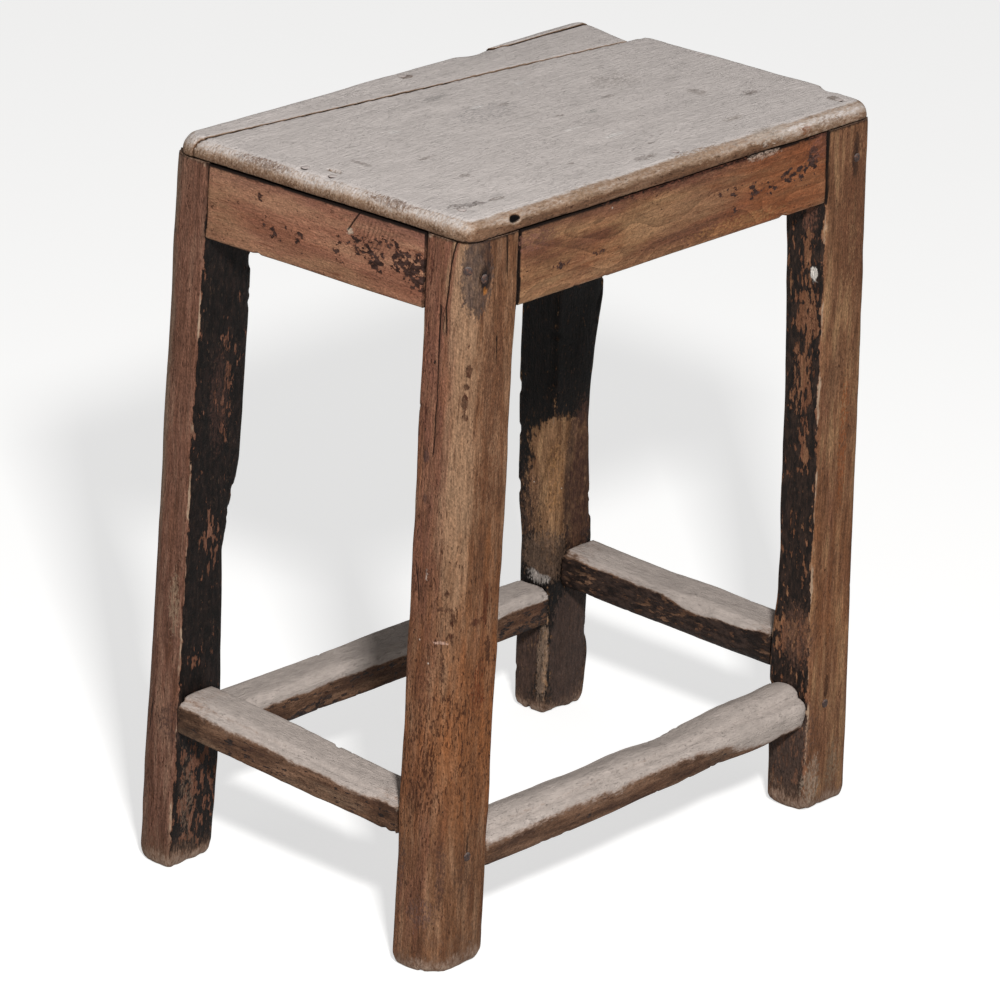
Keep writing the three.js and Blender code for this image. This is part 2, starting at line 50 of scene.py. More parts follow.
# The camera: a long lens four metres off the front left corner, looking down on the seat and
# tipped a little, as the picture was taken.
AIM = Vector((-3.99, 4.55, 233.61)) * MM
DISTANCE = 4022.97 * MM
TURN = radians(-49.937)
LOOK_DOWN = radians(20.703)
TIP = radians(2.636)
LENS = 218.88
SENSOR_WIDTH = 36
backward = Vector((sin(TURN) * cos(LOOK_DOWN), -cos(TURN) * cos(LOOK_DOWN), sin(LOOK_DOWN)))
level = Vector((cos(TURN), sin(TURN), 0))
upright = backward.cross(level)
camera_right = cos(TIP) * level + sin(TIP) * upright
camera_up = cos(TIP) * upright - sin(TIP) * level
camera_data = bpy.data.cameras.new("camera")
camera_data.lens = LENS
camera_data.sensor_width = SENSOR_WIDTH
camera = bpy.data.objects.new("camera", camera_data)
columns = (camera_right, camera_up, backward, AIM + DISTANCE * backward)
rows = [[column[row] for column in columns] for row in range(3)]
camera.matrix_world = Matrix([*rows, [0, 0, 0, 1]])
bpy.context.scene.collection.objects.link(camera)
bpy.context.scene.camera = camera
bpy.context.scene.view_settings.view_transform = "Standard"


def colour(code):
    """An sRGB hex colour as linear light."""
    shares = [int(code[at : at + 2], 16) / 255 for at in (0, 2, 4)]
    linear = [s / 12.92 if s <= 0.04045 else ((s + 0.055) / 1.055) ** 2.4 for s in shares]
    return (*linear, 1.0)


def add(tree, kind, inputs, out=0, stops=(), **settings):
    """Adds a shader node with its settings, links or sets its inputs, and gives one output."""
    node = tree.nodes.new("ShaderNode" + kind)
    for setting, value in settings.items():
        setattr(node, setting, value)
    for number, (place, code) in enumerate(stops):
        if number > 1:
            node.color_ramp.elements.new(place)
        node.color_ramp.elements[number].position = place
        node.color_ramp.elements[number].color = colour(code)
    for socket, value in inputs.items():
        if isinstance(value, bpy.types.NodeSocket):
            tree.links.new(value, node.inputs[socket])
        else:
            node.inputs[socket].default_value = value
    return node.outputs[out]


# The studio: one soft lamp high off the front left corner, an even white sky, and a pale painted
# floor that keeps the stool's shadow. The floor's glow is only for the camera and for reflections.
SKY_STRENGTH = 0.25
LAMP_PLACE = (-1922, -2016, 2113)
LAMP_WIDTH = 260
LAMP_WATTS = 126
FLOOR_WIDTH = 24000
FLOOR_PAINT = "c4c3c1"
FLOOR_GLOW = 0.62

world = bpy.data.worlds.new("white sky")
bpy.context.scene.world = world
world.use_nodes = True
sky = world.node_tree.nodes["Background"]
sky.inputs["Color"].default_value = (1, 1, 1, 1)
sky.inputs["Strength"].default_value = SKY_STRENGTH

lamp_data = bpy.data.lights.new("main lamp", "AREA")
lamp_data.size = LAMP_WIDTH * MM
lamp_data.energy = LAMP_WATTS
lamp = bpy.data.objects.new("main lamp", lamp_data)
lamp.location = Vector(LAMP_PLACE) * MM
lamp.rotation_euler = (AIM - lamp.location).to_track_quat("-Z", "Y").to_euler()
bpy.context.scene.collection.objects.link(lamp)

floor_paint = bpy.data.materials.new("pale matt floor paint")
floor_paint.use_nodes = True
tree = floor_paint.node_tree
tree.nodes.clear()
path = tree.nodes.new("ShaderNodeLightPath")
seen = path.outputs["Is Camera Ray"]
for ray in ("Is Glossy Ray", "Is Transmission Ray"):
    seen = add(tree, "Math", {0: seen, 1: path.outputs[ray]}, operation="MAXIMUM")
strength = add(tree, "Math", {0: seen, 1: FLOOR_GLOW}, operation="MULTIPLY")
glow = add(tree, "Emission", {"Color": (1, 1, 1, 1), "Strength": strength})
matt = add(tree, "BsdfDiffuse", {"Color": colour(FLOOR_PAINT)})
both = add(tree, "AddShader", {0: matt, 1: glow})
floor_output = tree.nodes.new("ShaderNodeOutputMaterial")
tree.links.new(both, floor_output.inputs["Surface"])
floor_mesh = bpy.data.meshes.new("floor")
half = FLOOR_WIDTH / 2 * MM
corners = [(-half, -half, 0), (half, -half, 0), (half, half, 0), (-half, half, 0)]
floor_mesh.from_pydata(corners, [], [(0, 1, 2, 3)])
floor_mesh.materials.append(floor_paint)
floor = bpy.data.objects.new("floor", floor_mesh)
bpy.context.scene.collection.objects.link(floor)

# The four legs: square hardwood posts with a rounded outer corner, mortised for the rails. Hands
# and feet have rubbed their outer faces bare, and the inner faces keep an old, dark, flaking finish.
LEG_SPACING = 1.6  # between the points of the fine mesh
SEAT_GAP = 0.7  # how far the frame's tops have shrunk from the seat
FRAME_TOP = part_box("front_left_leg")[1].z / MM
DIAGONAL = 0.7071  # each part of a unit step along a diagonal


def fine_copy(node, spacing):
    """A CAD solid's own shape in a fine, even mesh of squares, ready to be worn."""
    piece = bpy.data.objects.new("worn_" + node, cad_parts[node].data.copy())
    bpy.context.scene.collection.objects.link(piece)
    squares = piece.modifiers.new("even squares", "REMESH")
    squares.mode = "VOXEL"
    squares.voxel_size = spacing * MM
    evaluated = piece.evaluated_get(bpy.context.evaluated_depsgraph_get())
    fine = bpy.data.meshes.new_from_object(evaluated)
    piece.modifiers.clear()
    piece.data = fine
    fine.polygons.foreach_set("use_smooth", np.ones(len(fine.polygons), bool))
    return piece


def places_of(piece):
    """A piece's points, in millimetres."""
    flat = np.empty(3 * len(piece.data.vertices), np.float32)
    piece.data.vertices.foreach_get("co", flat)
    return flat.reshape(-1, 3).astype(float) / MM


def facings_of(piece):
    """The direction that the surface faces at each point."""
    flat = np.empty(3 * len(piece.data.vertices), np.float32)
    piece.data.vertex_normals.foreach_get("vector", flat)
    return flat.reshape(-1, 3).astype(float)


def move(piece, places):
    """Puts a piece's points in new places."""
    piece.data.vertices.foreach_set("co", (places * MM).astype(np.float32).ravel())
    piece.data.update()


def ease(value, low, high):
    """0 below low, 1 above high, and a smooth rise between."""
    share = np.clip((value - low) / (high - low), 0, 1)
    return share * share * (3 - 2 * share)


def wander(places, size, seed):
    """Smooth noise from -1 to 1, in lumps of a size in millimetres along each axis."""
    scaled = places / np.array(size, float) + 37.7 * seed
    cell = np.floor(scaled).astype(np.int64)
    part = scaled - cell
    part = part * part * (3 - 2 * part)
    total = np.zeros(len(places))
    for corner in product((0, 1), repeat=3):
        mixed = ((cell + corner) * (73856093, 19349663, 83492791)).sum(1)
        mixed = (mixed ^ (mixed >> 13)) * 1274126177 & 0x7FFFFFFF
        height = ((mixed ^ (mixed >> 15)) & 0xFFFF) / 32767.5 - 1
        total += height * np.where(corner, part, 1 - part).prod(1)
    return total


def softened(piece, places, rounds):
    """The points, each moved some rounds towards the middle of its neighbours."""
    ends = np.empty(2 * len(piece.data.edges), np.int32)
    piece.data.edges.foreach_get("vertices", ends)
    one, other = ends.reshape(-1, 2).T
    points = len(places)
    neighbours = np.bincount(one, minlength=points) + np.bincount(other, minlength=points)
    for _ in range(rounds):
        total = np.empty_like(places)
        for axis in range(3):
            total[:, axis] = np.bincount(one, places[other, axis], points)
            total[:, axis] += np.bincount(other, places[one, axis], points)
        places = (places + total / neighbours[:, None]) / 2
    return places


def wear(piece, rounds, share, spared=()):
    """Rubs the arrises down by a share, but not where they face a spared direction, as at a joint.
    Gives how far each point stood out of the softened surface."""
    places = places_of(piece)
    facings = facings_of(piece)
    pull = softened(piece, places, rounds) - places
    share = share * np.ones(len(places))
    for direction in spared:
        share = share * (1 - 0.9 * ease(facings @ np.array(direction, float), 0.25, 0.6))
    move(piece, places + pull * share[:, None])
    return -(pull * facings).sum(1)


def draw_back(piece, direction, distance):
    """Opens a joint: the faces that meet the neighbour shrink back from it."""
    share = ease(facings_of(piece) @ np.array(direction, float), 0.6, 0.9)
    move(piece, places_of(piece) - distance * share[:, None] * np.array(direction, float))


def chip(piece, size, often, seed, spared=()):
    """Breaks the arrises down further, in patches of a size."""
    places = places_of(piece)
    patch = wander(places, size, seed) + 0.5 * wander(places, np.array(size) / 3, seed)
    wear(piece, rounds=26, share=ease(patch, 1.1 - often, 1.4 - often), spared=spared)


def ripple(piece, size, depth, seed):
    """Raises and lowers the surface by up to a depth, in lumps of a size."""
    places = places_of(piece)
    height = depth * wander(places, size, seed)
    move(piece, places + facings_of(piece) * height[:, None])


def gnaw(piece, height, depth, seed):
    """Eats a foot's sole away unevenly from below, up to a height."""
    places = places_of(piece)
    plan = places * (1, 1, 0)
    lift = ease(wander(plan, (12, 12, 1), seed) + 0.6 * wander(plan, (4, 4, 1), seed), 0, 1.1)
    places[:, 2] += depth * lift * (1 - ease(places[:, 2], 0, height))
    places[:, 2] = np.maximum(places[:, 2], 0)
    move(piece, places)


def blot(places, centre, reach):
    """1 round a centre, easing to 0 at its reach along each axis."""
    away = np.linalg.norm((places - np.array(centre)) / np.array(reach), axis=1)
    return ease(1 - away, 0, 0.7)


def dent(piece, centre, reach, push):
    """Pushes the surface round a centre by a distance along each axis."""
    places = places_of(piece)
    move(piece, places + blot(places, centre, reach)[:, None] * np.array(push, float))


def paint(piece, **shares):
    """Keeps, for the finish, how much of something lies at each point."""
    for name, share in shares.items():
        layer = piece.data.attributes.new(name, "FLOAT", "POINT")
        layer.data.foreach_set("value", np.clip(share, 0, 1).astype(np.float32))


def mark(piece, marks):
    """Stains and spots, each with its centre, its reach along each axis, its colour and strength."""
    places = places_of(piece)
    tint = np.zeros((len(places), 4))
    for centre, reach, code, strength in marks:
        share = strength * blot(places, centre, reach)
        over = share > tint[:, 3]
        tint[over, :3] = colour(code)[:3]
        tint[over, 3] = share[over]
    layer = piece.data.attributes.new("mark", "FLOAT_COLOR", "POINT")
    layer.data.foreach_set("color", tint.astype(np.float32).ravel())


CRACK_SPAN = 8  # millimetres across a crack that its painted way aside covers, from 0 to 1


def crack(piece, lines, depth):
    """Splits the surface along lines through points: a groove, and for the finish how far each
    point lies to one side of the nearest line, with 0.5 on the line, and how open the split is."""
    places = places_of(piece)
    facings = facings_of(piece)
    nearest = np.full(len(places), float(CRACK_SPAN))
    aside = np.full(len(places), CRACK_SPAN / 2)
    for line in lines:
        for start, end in zip(line[:-1], line[1:]):
            along = np.subtract(end, start)
            share = np.clip((places - start) @ along / (along @ along), 0, 1)
            offset = places - start - share[:, None] * along
            across = np.cross(along, facings)
            across /= np.maximum(np.linalg.norm(across, axis=1), 1e-6)[:, None]
            distance = np.linalg.norm(offset, axis=1)
            closer = distance < nearest
            nearest[closer] = distance[closer]
            aside[closer] = (offset * across).sum(1)[closer]
    split = 1 - ease(nearest, 2, 5)
    sunk = depth * split * np.exp(-(aside**2) / 1.6)
    move(piece, places - facings * sunk[:, None])
    paint(piece, split=split, aside=0.5 + aside / CRACK_SPAN)


def old_wood(name, grain, look):
    """Dense open-grained hardwood, once stained and varnished nearly black, then worn through for
    decades: matt, streaked along the grain, with dark pores, flakes of the old coat and dust."""
    material = bpy.data.materials.new(name)
    material.use_nodes = True
    tree = material.node_tree
    spot = add(tree, "TexCoord", {}, out="Object")
    shifts = count(look["seed"], 7.31)

    def lumps(across, along, detail=4, roughness=0.6, source=spot):
        """Noise in lumps of a width across the grain and a length along it, in millimetres."""
        size = [across, across, across]
        size[grain] = along
        scale = [1 / (length * MM) for length in size]
        scaled = add(tree, "VectorMath", {0: source, 1: scale}, operation="MULTIPLY")
        moved = add(tree, "VectorMath", {0: scaled, 1: [next(shifts)] * 3}, operation="ADD")
        noise = {"Vector": moved, "Scale": 1, "Detail": detail, "Roughness": roughness}
        return add(tree, "TexNoise", noise)

    def painted(layer):
        """What was painted on the piece's points."""
        return add(tree, "Attribute", {}, out="Fac", attribute_name=layer)

    def maths(operation, *values, **settings):
        return add(tree, "Math", dict(enumerate(values)), operation=operation, **settings)

    def times(one, other):
        return maths("MULTIPLY", one, other)

    def graded(value, low, high, at_low=0, at_high=1):
        """A value's way from low to high, turned into one from at_low to at_high."""
        return add(tree, "MapRange", {0: value, 1: low, 2: high, 3: at_low, 4: at_high})

    def swing(noise, amount):
        """Noise as light that swings by an amount either side of 1."""
        return graded(noise, 0.36, 0.64, 1 - amount, 1 + amount)

    def patchy(share, noise, spread, edge, at=0.5):
        """A share broken up by noise and cut to an edge."""
        level = maths("ADD", share, maths("MULTIPLY_ADD", noise, spread, -0.5 * spread))
        limits = {"Value": level, "From Min": at - edge, "From Max": at + edge}
        return add(tree, "MapRange", limits, interpolation_type="SMOOTHSTEP")

    def lay(share, under, over, strength=1.0):
        """One colour laid over another."""
        weight = maths("MULTIPLY", share, strength, use_clamp=True)
        return add(tree, "Mix", {0: weight, 6: under, 7: over}, out=2, data_type="RGBA")

    def tinted(tone, light):
        """A colour made lighter or darker."""
        return add(tree, "HueSaturation", {"Color": tone, "Value": light})

    # Bare wood: bands of tone, and zones that shade off into rosier, warmer or paler ones
    stops = list(zip((0.38, 0.5, 0.62), look["bare"]))
    wood = add(tree, "ValToRGB", {0: lumps(look["band"], 7 * look["band"], 6)}, stops=stops)
    for layer in ("rosy", "warm", "pale"):
        zone = patchy(painted(layer), lumps(4, 24, 5), 1.1, 0.5)
        wood = lay(zone, wood, colour(look[layer]), 0.8)

    # Growth streaks, fibres, a fine grit, and scratches that cross the grain. Real fibres and grit
    # are too fine to show, so they are drawn about a millimetre wide
    streak = lumps(1.9, 50, 4)
    fibre = lumps(0.9, 5.5, 3)
    grit = lumps(1.1, 1.6, 3)
    turn = {"Vector": spot, "Rotation": (0.5, 0.6, 0.5)}
    turned = add(tree, "VectorRotate", turn, rotation_type="EULER_XYZ")
    scratch = lumps(1.0, 8, 3, source=turned)
    light = swing(streak, look["streak"])
    for noise, amount in ((fibre, "fibre"), (grit, "grit"), (scratch, "scratch")):
        light = times(light, swing(noise, look[amount]))
    if "figure" in look:
        # Flat-sawn figure: the growth rings cut into long loops, each with one sharp edge
        ring = maths("FRACT", times(lumps(30, 110, 1, 0.4), 9))
        light = times(light, graded(ring, 0, 1, 1 + look["figure"], 1 - look["figure"]))
    if "knot" in look:
        # A fan of fine growth lines, about three millimetres apart, that bend round a knot
        centre = [value * MM for value in look["knot"]]
        away = add(tree, "VectorMath", {0: spot, 1: centre}, out="Value", operation="DISTANCE")
        bend = times(lumps(9, 16, 2), 2)
        line = maths("FRACT", maths("MULTIPLY_ADD", away, 1 / (3 * MM), bend))
        shade = times(graded(line, 0.5, 1, 0, 0.5), painted("fan"))
        light = times(light, maths("SUBTRACT", 1.0, shade))
    wood = tinted(wood, light)
    vein = patchy(0.2, lumps(1.3, 24, 4), 2.2, 0.12)
    wood = lay(vein, wood, colour(look["vein"]), 0.6)

    # Open pores, filled with old dark finish. These too are finer in the real wood
    pore = patchy(painted("fleck"), lumps(1.15, 4.6, 3, 0.55), 2.4, 0.08)
    wood = lay(pore, wood, colour("371d12"), 0.8)

    # Arrises rubbed pale
    rub = patchy(painted("rub"), lumps(2, 9), 1.2, 0.2)
    wood = lay(rub, wood, colour(look["rubbed"]), 0.75)

    # The old coat: a thin brown rim where it has worn through, then the dark film with its scuffs
    flake = lumps(*look["flake"], look["ragged"], 0.6)
    film = patchy(painted("coat"), flake, 2.4, look["film_edge"])
    rim = patchy(painted("coat"), flake, 2.4, 0.05, at=0.43)
    stops = list(zip((0.4, 0.5, 0.6), look["coat"]))
    coat = add(tree, "ValToRGB", {0: lumps(3, 9, 6, 0.65)}, stops=stops)
    scuff = patchy(0.14, lumps(1.3, 4.5, 4), 2.2, 0.1)
    coat = lay(scuff, coat, colour(look["scuff"]), 0.5)
    wood = lay(rim, wood, colour(look["rim"]), 0.6)
    wood = lay(film, wood, coat)

    # Dirt in the corners and joints, painted shade in the line under the seat, and darker faces that look
    # down, packed black where strongest; and dust on what faces up, brown where thin and grey where thick
    grime = patchy(painted("grime"), lumps(3, 6, 5, 0.65), 1.2, 0.4)
    wood = lay(grime, wood, colour("1a110c"), 0.8)
    wood = lay(graded(painted("grime"), 0.7, 0.95), wood, colour("0a0605"), 0.9)
    dust = patchy(painted("dust"), lumps(1.7, 4.5, 6, 0.7), look["broken"], 0.45)
    dust_tone = add(tree, "ValToRGB", {0: dust}, stops=look["dust"])
    dust_light = times(swing(lumps(14, 60, 5), 0.05), swing(lumps(1.1, 10), 0.05))
    dust_light = times(dust_light, swing(lumps(4, 9, 5, 0.7), look["mottle"]))
    dash = patchy(look["dash"], lumps(1.5, 7, 3), 2.2, 0.08)
    dust_light = maths("MULTIPLY_ADD", dash, -0.16, dust_light)
    wood = lay(dust, wood, tinted(dust_tone, dust_light), 1.8)

    # Stains and spots in their own places, with the wood's own texture showing through
    spots = tree.nodes.new("ShaderNodeAttribute")
    spots.attribute_name = "mark"
    stained = patchy(spots.outputs["Alpha"], lumps(1.6, 3, 6, 0.7), 2.0, 0.16)
    stained = times(stained, swing(lumps(3, 6, 4), 0.25))
    stained = times(stained, maths("MAXIMUM", spots.outputs["Alpha"], 1.0))
    wood = lay(stained, wood, tinted(spots.outputs["Color"], light), 0.75)

    # Cracks about a millimetre wide, along the lines that were painted
    aside = maths("MULTIPLY_ADD", lumps(2.5, 7, 2), 0.12, painted("aside"))
    aside = maths("ABSOLUTE", maths("SUBTRACT", aside, 0.56))
    gap = graded(aside, 0.28 / CRACK_SPAN, 0.64 / CRACK_SPAN, 1, 0)
    gap = times(gap, painted("split"))
    wood = lay(gap, wood, colour("120a06"), 0.9)

    # Flecks of old lime wash, about a millimetre wide
    cells = tree.nodes.new("ShaderNodeTexVoronoi")
    cells.inputs["Scale"].default_value = 1 / (11 * MM)
    tree.links.new(spot, cells.inputs["Vector"])
    near = graded(cells.outputs["Distance"], 0.04, 0.08, 1, 0)
    chance = add(tree, "SeparateColor", {0: cells.outputs["Color"]}, out="Red")
    chosen = maths("GREATER_THAN", chance, 1 - look["specks"])
    wood = lay(times(near, chosen), wood, colour("c9bdb0"), 0.6)

    # Bare wood and dust are dull, with hardly a sheen, and the old coat is a little smoother
    rough = maths("MULTIPLY_ADD", dust, 0.2, graded(film, 0, 1, 0.8, 0.6), use_clamp=True)

    # Relief: raised streaks and fibres, sunken pores and cracks, the film's edge and a fine grit
    height = times(streak, 0.8)
    relief = [(fibre, 0.8), (grit, 0.7), (pore, -0.5), (film, 0.3), (dash, -0.2), (gap, -1.2)]
    for source, share in [*relief, (scratch, 0.4)]:
        height = maths("MULTIPLY_ADD", source, share, height)
    bump = add(tree, "Bump", {"Height": height, "Distance": 0.9 * MM, "Strength": 1.0})
    shader = tree.nodes["Principled BSDF"]
    for socket, source in (("Base Color", wood), ("Roughness", rough), ("Normal", bump)):
        tree.links.new(source, shader.inputs[socket])
    shader.inputs["IOR"].default_value = 1.5
    shader.inputs["Specular IOR Level"].default_value = 0.12
    return material


def fit(piece, node, material):
    """Puts a worn piece in its CAD node's place."""
    piece.data.materials.clear()
    piece.data.materials.append(material)
    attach(piece, "root")
    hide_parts(node)


ALONG_X, ALONG_Y, ALONG_Z = 0, 1, 2
LEG_LOOK = {
    "bare": ("553725", "684731", "7b5b44"),
    "rosy": "724b3d",
    "warm": "81502f",
    "pale": "8a6d55",
    "vein": "452719",
    "rubbed": "a8917b",
    "rim": "724934",
    "coat": ("15100e", "221915", "32251f"),
    "scuff": "604b3c",
    "dust": [(0.2, "5f4738"), (0.6, "7a6151"), (0.95, "958070")],
    "broken": 1.4,
    "mottle": 0.08,
    "band": 7,
    "streak": 0.16,
    "fibre": 0.24,
    "grit": 0.22,
    "scratch": 0.1,
    "flake": (3.2, 9),
    "ragged": 6,
    "film_edge": 0.04,
    "dash": 0.1,
    "specks": 0.05,
}
# Each leg: which way its outer corner points in X and Y, how much of the dark coat its inner faces
# keep and how rosy they are, how often its arrises are chipped, how far its sole is eaten away, how
# warm its shin is and how many open pores it shows, and what is its own in its look
LEGS = {
    "front_left_leg": {
        "side": (-1, -1), "kept": 0.7, "rosy_inside": 0, "chips": 0.35, "sole": 2,
        "warm": 0.8, "flecks": 0.23, "look": {},
    },
    "front_right_leg": {
        "side": (1, -1), "kept": 0.73, "rosy_inside": 0.45, "chips": 0.25, "sole": 2,
        "warm": 0.45, "flecks": 0.04,
        "look": {
            "bare": ("5f402c", "74513a", "88674a"), "rosy": "764d3c", "pale": "8b6e55",
            "streak": 0.13,
        },
    },
    "back_left_leg": {
        "side": (-1, 1), "kept": 0.86, "rosy_inside": 0.9, "chips": 0.6, "sole": 1.5,
        "warm": 0.3, "flecks": 0.02,
        "look": {
            "bare": ("4f3326", "68483b", "7e5f4e"), "rosy": "6c4a3b", "pale": "86705e",
            "warm": "6b4632", "coat": ("0a0706", "130d0b", "201714"),
        },
    },
    "back_right_leg": {
        "side": (1, 1), "kept": 0.92, "rosy_inside": 0, "chips": 0.95, "sole": 6,
        "warm": 0.3, "flecks": 0.02,
        "look": {
            "bare": ("5e432e", "7a5b42", "8f6f50"), "rubbed": "8a7563", "warm": "75543a",
            # Near-black coat, partly painted shade: darker than the old coat alone, for the seat's shadow
            # over the upper inner faces
            "coat": ("070504", "0c0908", "16100e"), "rim": "4c3526", "scuff": "3c2d25",
            "flake": (2.6, 5), "film_edge": 0.2,
        },
    },
}
# Where the dark coat of an inner face has worn away more than elsewhere, or less, where the share is
# below zero, and where it is kept dark as painted shade: centre, reach and share
COAT_WEAR_AND_SHADE = {
    "front_right_leg": [
        # Painted shade: the coat kept dark on the inner face just below the front apron, where its shadow
        # falls
        ((155, -108, 432), (30, 34, 22), -0.3),
        ((156, -117, 405), (30, 8, 20), 0.3),
        ((157, -118, 360), (30, 15, 36), 0.4),
        ((158, -115, 308), (30, 12, 36), 0.34),
        ((160, -120, 262), (30, 7, 30), 0.28),
        ((162, -124, 130), (30, 34, 24), 0.31),
        ((164, -119, 40), (30, 26, 42), 0.2),
    ],
    "back_left_leg": [
        ((-180, 94, 338), (12, 30, 72), 0.22),
        ((-187, 95, 226), (16, 30, 34), 0.3),
        ((-195, 96, 146), (11, 30, 14), 0.26),
        ((-193, 98, 52), (30, 34, 66), 0.37),
    ],
    "back_right_leg": [
        ((171, 106, 167), (18, 30, 70), 0.95),
        ((176, 104, 206), (26, 30, 24), 0.9),
        ((192, 98, 166), (18, 30, 74), 0.85),
        ((186, 98, 46), (40, 24, 62), 0.14),
        ((165, 116, 46), (16, 24, 62), 0.2),
    ],
}
# Nail rust, scuffs, scars and zones of another tone: centre, reach, colour and strength
LEG_MARKS = {
    "front_left_leg": [
        ((-191, -127, 466), (18, 15, 41), "413530", 1.0),
        ((-189, -127, 470), (14, 14, 33), "2c2321", 1.0),
        ((-186.3, -129, 463), (8, 9, 18), "1b1514", 1.3),
        ((-194.5, -125, 468), (4.5, 6, 7), "4a4037", 0.8),
        ((-185.7, -129, 455.5), (2.4, 5, 6.5), "8f5a2a", 1.3),
        ((-176, -131, 400), (20, 6, 110), "5c3d2b", 0.62),
        ((-178, -131, 330), (22, 6, 40), "5c3b28", 0.54),
        ((-205, -112, 200), (14, 14, 60), "5a3727", 0.5),
        ((-196, -127, 130), (9, 9, 46), "5c3422", 0.52),
        ((-188, -134, 60), (17, 6, 26), "533a2c", 0.5),
        ((-206, -118, 40), (22, 18, 24), "57413a", 0.56),
        ((-194.4, -125.9, 404), (3.6, 6, 7), "33190f", 0.85),
        ((-195.6, -125.6, 394), (2.6, 6, 4), "33190f", 0.8),
        ((-196.4, -125.4, 384), (3, 6, 9), "33190f", 0.75),
        ((-196, -125.4, 374), (2.6, 6, 5), "33190f", 0.75),
        ((-205.3, -103.1, 345), (6, 4, 8), "46322d", 0.85),
        ((-206, -104.4, 317), (6, 3, 5), "46322d", 0.75),
        ((-207.4, -109.9, 268), (6, 2, 6), "a8968a", 0.75),
        ((-203.6, -122.8, 258), (3, 3, 4.5), "33190f", 0.8),
        ((-204, -122, 247.2), (11, 10, 3), "3c241a", 0.7),
        ((-200.5, -126.9, 241), (3, 4, 8), "33190f", 0.72),
        ((-175.2, -131.7, 247), (4, 5, 26), "45200f", 0.8),
        ((-201.4, -126.6, 229), (2.6, 5, 6), "33190f", 0.75),
        ((-205, -123.3, 208), (2.4, 4, 20), "3c241a", 0.66),
        ((-205.5, -121.5, 225), (9, 8, 2.2), "b59484", 0.8),
        ((-171.8, -132.1, 215), (4, 5, 16), "33190f", 0.72),
        ((-183, -132, 236), (12, 5, 5), "45261a", 0.66),
        ((-180, -132, 190), (14, 5, 34), "5c2c17", 0.5),
        ((-185, -134, 84), (2, 5, 17), "2a1a11", 0.85),
        ((-205, -129.5, 66), (5, 7, 44), "4a3329", 0.62),
        ((-202, -98.8, 465), (6, 2.4, 18), "40221a", 0.72),
        ((-203.2, -98.8, 420), (6, 2, 36), "40221a", 0.56),
        ((-204.6, -100.5, 372), (6, 2.4, 18), "40221a", 0.62),
        ((-213, -101, 70), (9, 9, 44), "4c3931", 0.5),
    ],
    "front_right_leg": [
        ((184.6, -129, 464), (5.5, 6, 27), "2e1e17", 1.0),
        ((156.6, -121.9, 387.5), (7, 5, 8), "d6cfc6", 0.95),
        ((157, -124.5, 378), (7, 6, 6), "1c1310", 1.0),
        ((184.2, -133.9, 88), (3.4, 5, 16), "3a2417", 0.8),
        ((199, -128, 331), (3, 5, 5), "3f2617", 0.8),
        ((204, -129, 214), (3, 5, 7), "43291a", 0.75),
        ((192, -131, 176), (2.4, 5, 20), "4a2f1f", 0.66),
        ((196, -132, 30), (16, 6, 40), "75624f", 0.62),
        ((174, -132, 22), (15, 10, 36), "8a7868", 0.62),
        ((164, -110, 44), (8, 9, 36), "85756a", 0.57),
        ((187, -131.2, 262), (9, 6, 90), "7f4a2b", 0.53),
        ((188, -130, 425), (30, 8, 96), "5f3e2c", 0.7),
        ((160, -122, 128), (26, 22, 42), "573e32", 0.62),
        ((164, -119, 52), (30, 28, 62), "4b3a32", 0.72),
        ((158, -116, 432), (26, 14, 34), "6e4a3b", 0.55),
    ],
    "back_left_leg": [
        ((-209, 104, 185), (7, 8, 44), "86705c", 0.56),
        ((-184, 94.5, 325), (16, 16, 64), "3d2a24", 0.54),
        ((-211, 100, 104), (9, 26, 26), "43302a", 0.5),
        ((-200, 98, 50), (12, 8, 52), "6b5648", 0.5),
    ],
    "back_right_leg": [
        ((166, 108, 106), (15, 18, 13), "9a918a", 0.66),
        ((171, 104, 176), (12, 18, 56), "8b6644", 0.5),
        ((193, 98, 172), (22, 18, 86), "402b23", 1.2),
        ((158, 112, 150), (11, 40, 80), "46342a", 0.85),
        ((168, 104, 120), (26, 34, 32), "5c493c", 0.75),
        ((184, 98, 170), (10, 16, 74), "3a2922", 1.0),
        ((167, 103, 42), (6, 8, 60), "7d6858", 0.66),
        ((190, 98, 46), (30, 12, 70), "46362f", 1.1),
        ((164, 118, 46), (8, 22, 66), "4a3830", 0.9),
    ],
}
# Drying cracks, each a line through points on the surface
LEG_CRACKS = {
    "front_left_leg": [
        [(-200.4, -116.7, 488.5), (-200.5, -114.1, 478), (-201.2, -112.9, 467), (-201.7, -112.3, 455),
         (-202, -111.5, 445), (-202.3, -112.6, 430)],
        [(-202.6, -107.2, 442), (-203.4, -107.6, 412), (-204.2, -108.5, 383), (-204.9, -108.2, 350)],
        [(-165.2, -128.8, 484), (-165.1, -129, 466)],
        [(-172.9, -129.5, 420), (-172.4, -129.7, 408)],
        [(-207.4, -100.5, 269), (-207.6, -101.9, 262), (-207.8, -103.3, 252)],
    ],
    "back_left_leg": [[(-210.9, 121, 112), (-209, 122, 96)]],
}


def beside_aprons(piece, leg):
    """1 on the arrises that meet a long apron's shoulder, which nothing rubs, 0.5 on those that meet
    a short one's, and 0 elsewhere."""
    outward_x, outward_y = facings_of(piece)[:, :2].T * np.array(leg["side"])[:, None]
    meets_x = ease(-outward_x, 0.15, 0.4) * ease(outward_y, 0.15, 0.4)
    meets_y = ease(-outward_y, 0.15, 0.4) * ease(outward_x, 0.15, 0.4)
    beside = ease(places_of(piece)[:, 2], FRAME_TOP - 53, FRAME_TOP - 50)
    return np.maximum(meets_x, 0.5 * meets_y) * beside


